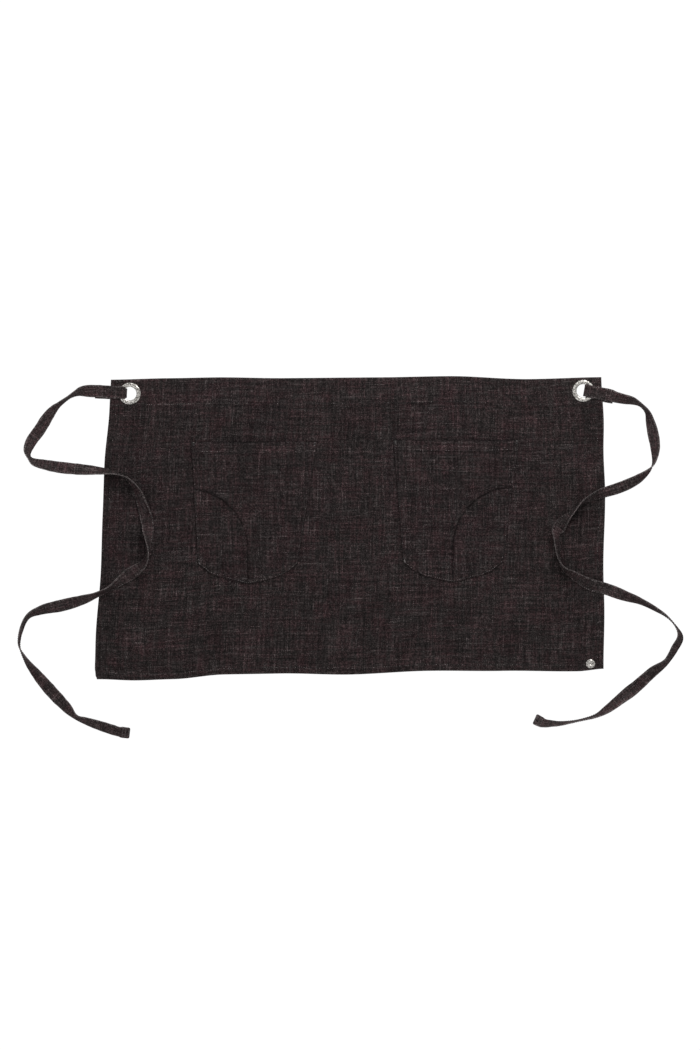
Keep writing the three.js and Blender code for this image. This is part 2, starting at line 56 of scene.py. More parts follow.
# Panel
PANEL_WIDTH = 762
PANEL_HEIGHT = 457
CLOTH = 1.0
HEM_THICKNESS = 2.2
WAIST_HEM = 41
SIDE_HEM = 11
BOTTOM_HEM = 11
EDGE_BOW = 5
CORNER_PLATEAU = 18
CORNER_FALL = 28
PANEL_CELL = 3.5
GAP = 0.3
WAVE = 0.9
PUCKER = 0.16
STITCH_DENT = 0.35
DENT_REACH = 0.9
SEAM_IN_HEM = 1.5
HEM_EASE = 2.4
FLAT_HEMS = 0.55
FLAP_STEP = 0.6
FLAP_REACH = 0.6
WORN_REACH = 0.9

# Pockets
POCKET_MOUTH = 192
POCKET_DEPTH = 217
POCKET_BASE = 152
MOUTH_HEM = 18
POCKET_SIDE_HEM = 8
POCKET_HEM_THICKNESS = 1.9
POCKET_BULGE = 7
SEAM_DROP = 72
SEAM_RADIUS = 92
POCKET_BELOW_WAIST = 97
POCKET_CELL = 1.7
POCKET_CLOTH = 0.9
POCKET_GAP = 0.2
POCKET_WAVE = 0.7
LAID_SHARE = 0.55
GAPE_REACH = 0.15
GAPE_SHADOW = 0.2
EDGE_SHADOW = 1.3
BASE_SHARE = 0.93
SIDE_SHARE = 0.86
SIDE_SEAM_IN = 2.2
MOUTH_SEAM_IN = 1.8
SEAM_DITCH = 1.5
SEAM_DITCH_REACH = 1.3
SEAM_RIDGE = 0.55
SEAM_EASE = 2.0
SEAM_ALLOWANCE = 7
ALLOWANCE_EASE = 3
POCKET_DENT = 0.3
POCKET_DENT_REACH = 0.8
SIDE_FOLD_FROM = 5.2
SIDE_FOLD_EASE = 1.8
LOOSE_PAST_EDGE = 20

# Eyelets and rivet
EYELET_OUTER = 33.4
EYELET_HOLE = 20.4
RING_HEIGHT = 1.6
RIVET_CAP = 14.4
RIVET_CAP_HEIGHT = 1.7
RIVET_SLIP = (1.3, 0)
HOLE_CUT = 12.8
FLANGE = 14
FLANGE_THICKNESS = 0.5
BARREL = 0.9

# Ties
TIE_WIDTH = 19.2
TIE_THICKNESS = 1.8
LIES_FLATTER = 7
TIE_END_HEM = 14
TIE_END_EXTRA = 2
TIE_END_THICKNESS = 2.4
SEWN_LENGTH = 15
CORNER_RISE = 2.2
TIE_CUP = 0.55
TIE_RIPPLE = 0.16
WIDTH_WAVER = 0.025
END_ROUND = 3.0
LOOSE_FROM = 60
LOOP_STEP = 0.9
FREE_STEP = 2.2

# Threads
STITCH = 1.9
STITCH_PITCH = 3.3
THREAD_RADIUS = 0.34
THREAD_SIDES = 5
TACK_LENGTH = 3
TACK_PITCH = 0.75
TACK_STITCHES = 9
TACK_FROM = 1.2
LOW_TACK_FROM = 1.5

# Shares that pieces of cloth are drawn lighter or darker by: the waist and mouth hems lighter, and painted
# shade where a tie lies on the panel, in a pocket's seam ditch and along a pocket's edges and sides
WAIST_LIGHTER = 0.12
MOUTH_LIGHTER = 0.1
ON_PANEL_PAINTED_SHADE = 0.25
SEAM_PAINTED_SHADE = 0.82
EDGE_PAINTED_SHADE = 0.92
SIDES_PAINTED_SHADE = 0.5

# The panel's corners as shares of half its size, and its edges' bows: (share along, share of EDGE_BOW out)
CORNER_SHARES = {
    "top_left": (-0.955, 0.989),
    "top_right": (1.002, 1.006),
    "bottom_left": (-1.01, -1.005),
    "bottom_right": (1.011, -0.935),
}
TOP_BOW = [(0, 0), (0.12, 0.36), (0.22, 0.55), (0.35, 0.2), (0.55, 0.3), (0.69, 0.55), (0.85, -0.48), (1, 0)]
BOTTOM_BOW = [(0, 0), (0.08, 0.6), (0.15, 0.45), (0.25, -0.65), (0.36, -0.6), (0.5, 0.15),
              (0.65, -0.48), (0.8, 0), (0.95, 0.6), (1, 0)]
LEFT_BOW = [(0, 0), (0.1, 0.05), (0.28, 0.82), (0.45, 0.66), (0.64, 0.42), (0.85, 1.06), (0.96, 0.9),
            (0.985, 0.6), (1, 0.1)]
RIGHT_BOW = [(0, 0), (0.16, 0.66), (0.25, 0.5), (0.4, 0.9), (0.66, 0.18), (0.8, 0.4), (1, 0)]

# A pocket's base: (share across, share of POCKET_DEPTH down)
BASE_OUTLINE = [(0, 0.855), (0.04, 0.875), (0.12, 0.922), (0.22, 0.95), (0.35, 0.972), (0.5, 1),
                (0.64, 0.978), (0.78, 0.955), (0.9, 0.912), (0.97, 0.872), (1, 0.855)]

# Each pocket: the way to the panel's middle, its mouth's middle, the share of its narrowing on its outer
# side, where its cloth was cut, where its mouth gapes, the side of its low bar tack, and its bright tacks
POCKETS = {
    "left": {"inward": 1, "x": -146, "lean": 0.25, "cut_from": (900, 300), "gapes_at": 0.45,
             "tack_side": 0, "tacks_bright": 0.15},
    "right": {"inward": -1, "x": 161, "lean": 0.62, "cut_from": (-1200, 700), "gapes_at": 0.25,
              "tack_side": 1, "tacks_bright": 0.25},
}

# The ties' routes from their eyelets' centres: x, y and tilt in degrees, as in the part
LEFT_ROUTE = [
    (-44, 5, 0), (-54, 5, -14), (-70, 5, -37), (-81, 2, -66), (-92, -4, -80), (-106, -14, -75),
    (-116, -23, -59), (-126, -36, -37), (-138, -55, -24), (-149, -70, -35), (-155, -85, -57),
    (-153, -96, -79), (-145, -103, -60), (-129, -107, -45), (-106, -111, -31), (-76, -114, -38),
    (-48, -116, -58), (-25, -119, -78), (-4, -128, -97), (10, -145, -115), (19, -168, -140),
    (26, -193, -176), (28, -216, -237), (28, -238, -270), (21, -257, -298), (9, -267, -326),
    (-1, -274, -362), (-12, -282, -402), (-31, -295, -432), (-51, -305, -430), (-74, -313, -407),
    (-104, -321, -386), (-135, -328, -411), (-156, -339, -434), (-165, -359, -439),
    (-168, -381, -447), (-158, -403, -466), (-141, -426, -495), (-119, -452, -519),
    (-98, -474, -501), (-81, -491, -467), (-65, -497, -481), (-38, -506, -494),
    (-15, -513, -494), (0, -515, -493),
]
RIGHT_ROUTE = [
    (40, -6, 8), (48, -9, 34), (61, -12, 46), (75, -15, 62), (88, -22, 79), (96, -31, 74),
    (101, -47, 53), (105, -64, 36), (108, -81, 45), (108, -98, 66), (105, -112, 86),
    (94, -125, 111), (74, -138, 136), (53, -147, 145), (31, -154, 138), (13, -161, 118),
    (-4, -170, 95), (-14, -182, 86), (-26, -192, 62), (-37, -206, 8), (-42, -222, -68),
    (-40, -239, -72), (-38, -254, -84), (-31, -269, -100), (-17, -279, -120), (10, -294, -150),
    (35, -301, -154), (62, -311, -138), (85, -319, -115), (107, -330, -105), (128, -344, -93),
    (142, -361, -84), (146, -376, -64), (138, -391, -60), (126, -410, -67), (103, -428, -40),
    (82, -447, -27), (58, -466, 37), (36, -483, 59), (17, -494, 79), (-10, -501, 86),
    (-35, -505, 76), (-50, -505, 66), (-62, -504, 54), (-75, -498, 48),
]


def middle_of(node):
    low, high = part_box(node)
    return (np.array(low) + np.array(high))[:2] / (2 * MM)


# Each eyelet's tie: the way that it leaves, where its fold stands in the hole, where its sewn end starts, and
# how far it and its back layer lie beside the middle; and how far the photo's ring is from the part's
EYELETS = {
    "left": {"at": middle_of("eyelet_left"), "heading": 177, "stands_out": 5.2, "sewn_from": 38,
             "route": LEFT_ROUTE, "back_slip": 1.6, "beside": -2.2, "beside_in_hole": -1.5,
             "ring_slip": (-0.2, 1.2)},
    "right": {"at": middle_of("eyelet_right"), "heading": -10, "stands_out": 0.7, "sewn_from": 31,
              "route": RIGHT_ROUTE, "back_slip": -2.4, "beside": 1.0, "beside_in_hole": 1.4,
              "ring_slip": (-0.9, 0.5)},
}
RIVET_AT = middle_of("rivet") - RIVET_SLIP
RING_AT = {side: eyelet["at"] + eyelet["ring_slip"] for side, eyelet in EYELETS.items()}


# Numbers and noise


def smooth(t):
    t = np.clip(t, 0, 1)
    return t * t * (3 - 2 * t)


def follow(table, place):
    """The table's value at each place, eased between its rows."""
    along, value = np.array(table, float).T
    i = np.clip(np.searchsorted(along, place, side="right") - 1, 0, len(along) - 2)
    t = smooth((place - along[i]) / (along[i + 1] - along[i]))
    return value[i] + (value[i + 1] - value[i]) * t


LATTICE = 256


def waver(x, y, size_x, size_y, seed):
    """Smooth noise from -1 to 1 with features of the given sizes."""
    lattice = np.random.default_rng(seed).uniform(-1, 1, (LATTICE, LATTICE))
    gx, gy = np.asarray(x, float) / size_x, np.asarray(y, float) / size_y
    i, j = np.floor(gx).astype(int), np.floor(gy).astype(int)
    s, t = smooth(gx - i), smooth(gy - j)
    near_x, near_y = i % LATTICE, j % LATTICE
    far_x, far_y = (i + 1) % LATTICE, (j + 1) % LATTICE
    low = lattice[near_y, near_x] * (1 - s) + lattice[near_y, far_x] * s
    high = lattice[far_y, near_x] * (1 - s) + lattice[far_y, far_x] * s
    return low * (1 - t) + high * t


def waves(table, x, y):
    """Noises added up, from rows of their sizes across and up, share and seed."""
    return sum(share * waver(x, y, size_x, size_y, seed) for size_x, size_y, share, seed in table)


def close_to(distance, reach):
    """1 where there is no distance, falling to nothing past the reach."""
    return np.exp(-(distance / reach) ** 2)


def within(past, ease=2):
    """1 inside an edge and 0 past it, eased between."""
    return 1 - smooth((past + 1) / ease)


# Meshes


def mesh_piece(name, points, faces, material):
    """A mesh piece, its points in millimetres, riding on the frame."""
    mesh = bpy.data.meshes.new(name)
    mesh.from_pydata((np.asarray(points, float) * MM).tolist(), [], [list(map(int, f)) for f in faces])
    mesh.polygons.foreach_set("use_smooth", [True] * len(mesh.polygons))
    mesh.materials.append(material)
    mesh.validate()
    obj = bpy.data.objects.new(name, mesh)
    bpy.context.scene.collection.objects.link(obj)
    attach(obj, "root")
    return obj


def point_values(obj, name, values, kind="FLOAT"):
    """A value or vector kept on each point of a piece, for its material."""
    attribute = obj.data.attributes.new(name, kind, "POINT")
    field = "value" if kind == "FLOAT" else "vector"
    attribute.data.foreach_set(field, np.asarray(values, np.float32).ravel())


def corner_vectors(obj, name, point_vectors, shift_of_face):
    """A vector kept on each face corner: its point's, moved by its face's shift."""
    mesh = obj.data
    corners = np.zeros(len(mesh.loops), int)
    mesh.loops.foreach_get("vertex_index", corners)
    totals = np.zeros(len(mesh.polygons), int)
    mesh.polygons.foreach_get("loop_total", totals)
    vectors = np.asarray(point_vectors, float)[corners] + np.repeat(shift_of_face, totals, axis=0)
    attribute = mesh.attributes.new(name, "FLOAT_VECTOR", "CORNER")
    attribute.data.foreach_set("vector", vectors.astype(np.float32).ravel())


def sheet_faces(kept):
    """Faces of a thin closed piece made of two like grids of points, top then bottom, for the kept cells."""
    cells_up, cells_across = kept.shape
    across = cells_across + 1
    count = (cells_up + 1) * across
    i, j = np.nonzero(kept)
    a = i * across + j
    b, c, d = a + 1, a + across + 1, a + across
    faces = [np.stack([a, b, c, d], 1), np.stack([a, d, c, b], 1) + count]
    framed = np.pad(kept, 1)
    sides = [(framed[i, j + 1], a, b), (framed[i + 1, j + 2], b, c), (framed[i + 2, j + 1], c, d),
             (framed[i + 1, j], d, a)]
    for neighbour, start, end in sides:
        edge = ~neighbour
        p, q = start[edge], end[edge]
        faces.append(np.stack([p, p + count, q + count, q], 1))
    return np.concatenate(faces)


def ring_faces(rings, sides, closed=False):
    """Faces between each ring of points and the next, and between the last and the first if closed."""
    faces = []
    for k in range(rings if closed else rings - 1):
        m = (k + 1) % rings
        for s in range(sides):
            t = (s + 1) % sides
            faces.append([k * sides + s, k * sides + t, m * sides + t, m * sides + s])
    return faces


# The panel's shape

half_size = np.array([PANEL_WIDTH / 2, PANEL_HEIGHT / 2])
corners = {name: np.array(share) * half_size for name, share in CORNER_SHARES.items()}


def edge_y(start, end, bow, side, x):
    a, b = corners[start], corners[end]
    along = np.clip((x - a[0]) / (b[0] - a[0]), 0, 1)
    return a[1] + (b[1] - a[1]) * along + side * EDGE_BOW * follow(bow, along)


def edge_x(start, end, bow, side, y):
    a, b = corners[start], corners[end]
    along = np.clip((y - a[1]) / (b[1] - a[1]), 0, 1)
    return a[0] + (b[0] - a[0]) * along + side * EDGE_BOW * follow(bow, along)


def top_edge(x):
    return edge_y("top_left", "top_right", TOP_BOW, 1, x)


def bottom_edge(x):
    return edge_y("bottom_left", "bottom_right", BOTTOM_BOW, -1, x)


def left_edge(y):
    return edge_x("top_left", "bottom_left", LEFT_BOW, -1, y)


def right_edge(y):
    return edge_x("top_right", "bottom_right", RIGHT_BOW, 1, y)


def panel_place(across, up):
    """The place of a share across and up the panel."""
    x, y = (across - 0.5) * PANEL_WIDTH, (up - 0.5) * PANEL_HEIGHT
    for _ in range(5):
        low, high = bottom_edge(x), top_edge(x)
        left, right = left_edge(y), right_edge(y)
        x, y = left + (right - left) * across, low + (high - low) * up
    return x, y


def raised(x, y):
    """How far the panel is raised over each tie's back layer."""
    rise = np.zeros_like(x, float)
    for eyelet in EYELETS.values():
        turn = math.radians(eyelet["heading"])
        dx, dy = x - eyelet["at"][0], y - eyelet["at"][1]
        out = dx * math.cos(turn) + dy * math.sin(turn)
        side = dy * math.cos(turn) - dx * math.sin(turn)
        away = np.where(out > 0, np.abs(side), np.hypot(out, side))
        rise = np.maximum(rise, CORNER_RISE * (1 - smooth((away - CORNER_PLATEAU) / CORNER_FALL)))
    return rise


# The panel's waves: sizes across and up, share, seed; and the puckers of its waist, bottom and side hems:
# sizes, reach, seed
PANEL_WAVES = [(95, 70, 0.55, 1), (38, 46, 0.3, 2), (17, 15, 0.15, 3)]
HEM_PUCKERS = [(7, 40, 7, 4), (7, 40, 5, 5), (40, 7, 5, 6)]
PUCKER_IN_HEM = 2


def panel_face(x, y):
    """The height of the panel's face, and its thickness there."""
    inner = [x - left_edge(y), right_edge(y) - x, y - bottom_edge(x), top_edge(x) - y]
    left, right, bottom, top = [np.maximum(distance, 0) for distance in inner]
    past_hems = [top - WAIST_HEM, bottom - BOTTOM_HEM, np.minimum(left, right) - SIDE_HEM]
    hem = np.zeros_like(top)
    for past in past_hems:
        hem = np.maximum(hem, within(past, HEM_EASE))
    thick = CLOTH + (HEM_THICKNESS - CLOTH) * hem
    lift = WAVE * (0.5 + 0.5 * waves(PANEL_WAVES, x, y)) * (1 - FLAT_HEMS * hem)
    pucker, dent = 0, 0
    for past, (size_x, size_y, reach, seed) in zip(past_hems, HEM_PUCKERS):
        near = close_to(past + PUCKER_IN_HEM, reach)
        pucker = pucker + PUCKER * waver(x, y, size_x, size_y, seed) * near
        dent = np.maximum(dent, close_to(past + SEAM_IN_HEM, DENT_REACH))
    return raised(x, y) + thick + lift + pucker - STITCH_DENT * dent, thick


def lines(total, near_start, near_end, cell):
    """Grid lines over a length: the given ones near each end, and even ones between."""
    first, last = near_start[-1], total - near_end[-1]
    between = np.linspace(first, last, max(2, round((last - first) / cell)) + 1)
    return np.concatenate([near_start[:-1], between, total - np.array(near_end[-2::-1])])


# The grids' lines in from the edges, closer where the cloth turns
EDGE_LINES = [0, 0.12, 0.4, 1.1, 2.6, 5, 7.6, 8.7, 9.5, 10.3, 11.2, 12.2, 13.6, 16]
WAIST_LINES = [0, 0.12, 0.4, 1.1, 2.6, 5.5, 9, 12.5, 16, 19.5, 23, 26.5, 30, 33, 36, 38, 38.8, 39.5, 40.2,
               41.2, 42.2, 44, 47]


def rounded(distance, half):
    """The share of the half thickness that a folded edge has at a distance from its end."""
    t = np.clip(distance / half, 0, 1)
    return np.sqrt(np.clip(1 - (1 - t) ** 2, 0.04, 1))


BACK_CUT_FROM = (0.5, 0.9, 0)


def make_panel():
    columns = lines(PANEL_WIDTH, EDGE_LINES, EDGE_LINES, PANEL_CELL)
    rows = lines(PANEL_HEIGHT, EDGE_LINES, WAIST_LINES, PANEL_CELL)
    from_left, from_bottom = np.meshgrid(columns, rows)
    x, y = panel_place(from_left / PANEL_WIDTH, from_bottom / PANEL_HEIGHT)
    face, thick = panel_face(x, y)
    from_side = np.minimum(from_left, PANEL_WIDTH - from_left)
    from_top = PANEL_HEIGHT - from_bottom
    near = np.minimum(np.minimum(from_side, from_bottom), from_top)
    half = thick / 2 * rounded(near, HEM_THICKNESS / 2)
    middle = face - thick / 2
    past_hems = (from_side - SIDE_HEM, from_bottom - BOTTOM_HEM, from_top - WAIST_HEM)
    flap_edge = np.max([close_to(past, FLAP_REACH) for past in past_hems], axis=0)
    under = middle - half + FLAP_STEP * flap_edge
    points = np.concatenate([np.stack([x, y, z], -1).reshape(-1, 3) for z in (middle + half, under)])
    cell_x = (x[1:, 1:] + x[:-1, :-1]) / 2
    cell_y = (y[1:, 1:] + y[:-1, :-1]) / 2
    kept = np.ones(cell_x.shape, bool)
    for ring in RING_AT.values():
        kept &= np.hypot(cell_x - ring[0], cell_y - ring[1]) > HOLE_CUT
    obj = mesh_piece("cloth_panel", points, sheet_faces(kept), CLOTH_MATERIAL)
    flat = np.stack([from_left, from_bottom, np.zeros_like(from_left)], -1).reshape(-1, 3) * MM
    point_values(obj, "place", np.concatenate([flat, flat + BACK_CUT_FROM]), "FLOAT_VECTOR")
    wear_and_painted_highlight = np.exp(-near / WORN_REACH)
    point_values(obj, "wear_and_painted_highlight", [wear_and_painted_highlight, wear_and_painted_highlight])
    # The waist hem is drawn lighter, as a negative value of the painted shade channel.
    hem_light = -WAIST_LIGHTER * within(from_top - WAIST_HEM)
    point_values(obj, "painted_shade_and_hem_tone", [hem_light, hem_light])
    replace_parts(obj, "panel")


# Pockets


def pocket_top(pocket):
    return top_edge(np.array(float(pocket["x"]))) - POCKET_BELOW_WAIST


def pocket_place(pocket, across, down):
    """The place of a share across, from the panel's side to its middle, and down a pocket."""
    spread = POCKET_MOUTH - POCKET_BASE
    outer = -POCKET_MOUTH / 2 + spread * pocket["lean"] * down
    inner = POCKET_MOUTH / 2 - spread * (1 - pocket["lean"]) * down
    along, value = np.array(BASE_OUTLINE).T
    low = np.interp(across, along, value) * POCKET_DEPTH
    x = pocket["x"] + pocket["inward"] * (outer + (inner - outer) * across)
    return x, pocket_top(pocket) - low * down


def seam_distance(pocket, x, y):
    """The distance from a pocket's curved seam, negative on the inset's side."""
    middle = pocket_place(pocket, 0.5, 1.0)[0]
    start = middle - pocket["inward"] * SEAM_RADIUS
    dx = pocket["inward"] * (x - start)
    dy = y - (pocket_top(pocket) - SEAM_DROP - SEAM_RADIUS)
    return np.where(dx < 0, dy, np.where(dy < 0, dx, np.hypot(dx, dy))) - SEAM_RADIUS


def stand_off(pocket, across, down):
    """How far a pocket stands off the panel: most at its mouth, where it gapes."""
    in_seam = POCKET_SIDE_HEM / POCKET_MOUTH
    middle = np.sin(np.pi * np.clip((across - in_seam) / (1 - 2 * in_seam), 0, 1)) ** 0.6
    middle = middle * (0.4 + 0.6 * close_to(across - pocket["gapes_at"], GAPE_REACH))
    return LAID_SHARE * POCKET_BULGE * middle * np.cos(np.pi / 2 * np.clip(down / (1 - in_seam), 0, 1)) ** 0.8


# A pocket's waves: sizes across and up, share, seed
POCKET_WAVES = [(44, 30, 0.6, 11), (18, 21, 0.4, 12)]


def pocket_face(pocket, across, down):
    """A pocket's place, its height and thickness there, and the distance from its edge and its seam."""
    x, y = pocket_place(pocket, across, down)
    from_side = np.minimum(across, 1 - across) * POCKET_MOUTH
    from_mouth = down * POCKET_DEPTH
    near = np.minimum(from_side, (1 - down) * POCKET_DEPTH * BASE_SHARE)
    side_fold = 1 - smooth((near - SIDE_FOLD_FROM) / SIDE_FOLD_EASE)
    fold = np.maximum(side_fold, within(from_mouth - MOUTH_HEM))
    thick = POCKET_CLOTH + (POCKET_HEM_THICKNESS - POCKET_CLOTH) * fold
    under = panel_face(x, y)[0] + POCKET_GAP + stand_off(pocket, across, down)
    wave = waves(POCKET_WAVES, x, y)
    loose = smooth(near / LOOSE_PAST_EDGE)
    away = seam_distance(pocket, x, y)
    ditch = close_to(away, SEAM_DITCH_REACH)
    ridge = smooth(away / SEAM_EASE) * (1 - smooth((away - SEAM_ALLOWANCE) / ALLOWANCE_EASE))
    dent = close_to(near - SIDE_SEAM_IN, POCKET_DENT_REACH)
    dent = np.maximum(dent, close_to(from_mouth - MOUTH_HEM + MOUTH_SEAM_IN, POCKET_DENT_REACH))
    height = under + thick + POCKET_WAVE * (0.5 + 0.5 * wave) * loose + SEAM_RIDGE * ridge * loose
    return x, y, height - POCKET_DENT * dent - SEAM_DITCH * ditch, thick, near, away


POCKET_LINES = [0, 0.12, 0.4, 1.0, 1.7, 2.3, 3.0, 4.2, 5.4, 6.2, 7.2, 8.5]
MOUTH_LINES = [0, 0.12, 0.4, 1.0, 2.4, 4.2, 6, 8, 10, 12, 14, 15.4, 16.2, 17, 17.8, 18.6, 20]


INSET_CUT = 0.6


def make_pocket(side):
    pocket = POCKETS[side]
    across = lines(POCKET_MOUTH, POCKET_LINES, POCKET_LINES, POCKET_CELL) / POCKET_MOUTH
    down = 1 - lines(POCKET_DEPTH, POCKET_LINES, MOUTH_LINES, POCKET_CELL) / POCKET_DEPTH
    if pocket["inward"] < 0:
        across = across[::-1]
    across, down = np.meshgrid(across, down)
    x, y, face, thick, near, away = pocket_face(pocket, across, down)
    from_border = np.minimum(near, down * POCKET_DEPTH)
    half = thick / 2 * rounded(from_border, POCKET_HEM_THICKNESS / 2)
    middle = face - thick / 2
    top = np.stack([x, y, middle + half], -1).reshape(-1, 3)
    bottom = np.stack([x, y, middle - half], -1).reshape(-1, 3)
    kept = np.ones((x.shape[0] - 1, x.shape[1] - 1), bool)
    points = np.concatenate([top, bottom])
    obj = mesh_piece(f"cloth_pocket_{side}", points, sheet_faces(kept), CLOTH_MATERIAL)
    flat = np.stack([x, y, np.zeros_like(x)], -1).reshape(-1, 3)
    centres = np.zeros(len(obj.data.polygons) * 3)
    obj.data.polygons.foreach_get("center", centres)
    centres = centres.reshape(-1, 3) / MM
    in_inset = seam_distance(pocket, centres[:, 0], centres[:, 1]) < 0
    cut_from = np.array([*pocket["cut_from"], 0.0])
    shift = np.where(in_inset[:, None], INSET_CUT * cut_from, cut_from)
    corner_vectors(obj, "place", np.concatenate([flat, flat]) * MM, shift * MM)
    from_mouth = down * POCKET_DEPTH
    # Lighter at the pocket's edges for wear, and along a painted highlight 2.8 mm below the mouth's folded
    # edge.
    wear_and_painted_highlight = 0.25 * np.exp(-from_border / WORN_REACH) + 0.3 * close_to(from_mouth - 2.8, 1.1)
    point_values(obj, "wear_and_painted_highlight", [wear_and_painted_highlight, wear_and_painted_highlight])
    # Painted shade: the cloth drawn darker along the curved seam's ditch.
    seam_painted_shade = SEAM_PAINTED_SHADE * close_to(away, SEAM_DITCH_REACH) * (0.8 + 0.2 * waver(x, y, 8, 8, 13))
    # Painted shadow: a dark line along the pocket's edges, widest and darkest where the mouth gapes, half as
    # dark down the sides and base.
    gape = close_to(across - pocket["gapes_at"], GAPE_SHADOW) * (from_mouth < near)
    edge_painted_shade = EDGE_PAINTED_SHADE * close_to(from_border, EDGE_SHADOW + EDGE_SHADOW * gape)
    edge_painted_shade = edge_painted_shade * np.clip(0.7 + 0.5 * waver(x, y, 9, 9, 14) + gape, 0, 1)
    edge_painted_shade = edge_painted_shade * np.where(from_mouth < near, 1, SIDES_PAINTED_SHADE)
    mouth_light = MOUTH_LIGHTER * within(from_mouth - MOUTH_HEM)
    painted_shade_and_hem_tone = np.maximum(seam_painted_shade, edge_painted_shade) - mouth_light
    point_values(obj, "painted_shade_and_hem_tone", [painted_shade_and_hem_tone, painted_shade_and_hem_tone])
    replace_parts(obj, f"pocket_{side}", f"pocket_{side}_inset")


# Ties


def through(points, per_place):
    """A smooth line through points, centripetal, as places along it."""
    p = np.asarray(points, float)
    p = np.vstack([2 * p[0] - p[1], p, 2 * p[-1] - p[-2]])
    spans = (np.sum((p[1:] - p[:-1]) ** 2, 1)) ** 0.25
    out = []
    for k in range(1, len(p) - 2):
        p0, p1, p2, p3 = p[k - 1:k + 3]
        d0, d1, d2 = spans[k - 1:k + 2]
        t1 = ((p1 - p0) / d0 - (p2 - p0) / (d0 + d1) + (p2 - p1) / d1) * d1
        t2 = ((p2 - p1) / d1 - (p3 - p1) / (d1 + d2) + (p3 - p2) / d2) * d1
        w = (np.arange(per_place) / per_place)[:, None]
        out.append(p1 + t1 * w + (3 * (p2 - p1) - 2 * t1 - t2) * w ** 2 + (2 * (p1 - p2) + t1 + t2) * w ** 3)
    return np.vstack(out + [p[-2:-1]])


def unit(v):
    return v / np.linalg.norm(v, axis=-1, keepdims=True)


def directions(points):
    return unit(np.gradient(points, axis=0))


def eased_run(values, reach):
    """A running mean over a number of places to each side."""
    padded = np.pad(values, reach, mode="edge")
    return np.convolve(padded, np.ones(2 * reach + 1) / (2 * reach + 1), mode="valid")


def run_along(line):
    """The distance along a line to each of its places."""
    return np.concatenate([[0], np.cumsum(np.linalg.norm(np.diff(line, axis=0), axis=1))])


def read_at(where, run, values):
    """Values known along a run, at other places of it."""
    return np.stack([np.interp(where, run, part) for part in values.T], -1)


def surface_under(x, y):
    """The height of what lies beneath a place: the panel's face, or the surface it lies on."""
    from_side = np.minimum(x - left_edge(y), right_edge(y) - x)
    inside = np.minimum(from_side, np.minimum(y - bottom_edge(x), top_edge(x) - y))
    return np.where(inside < -0.5, 0.0, panel_face(x, y)[0] + GAP / 2)


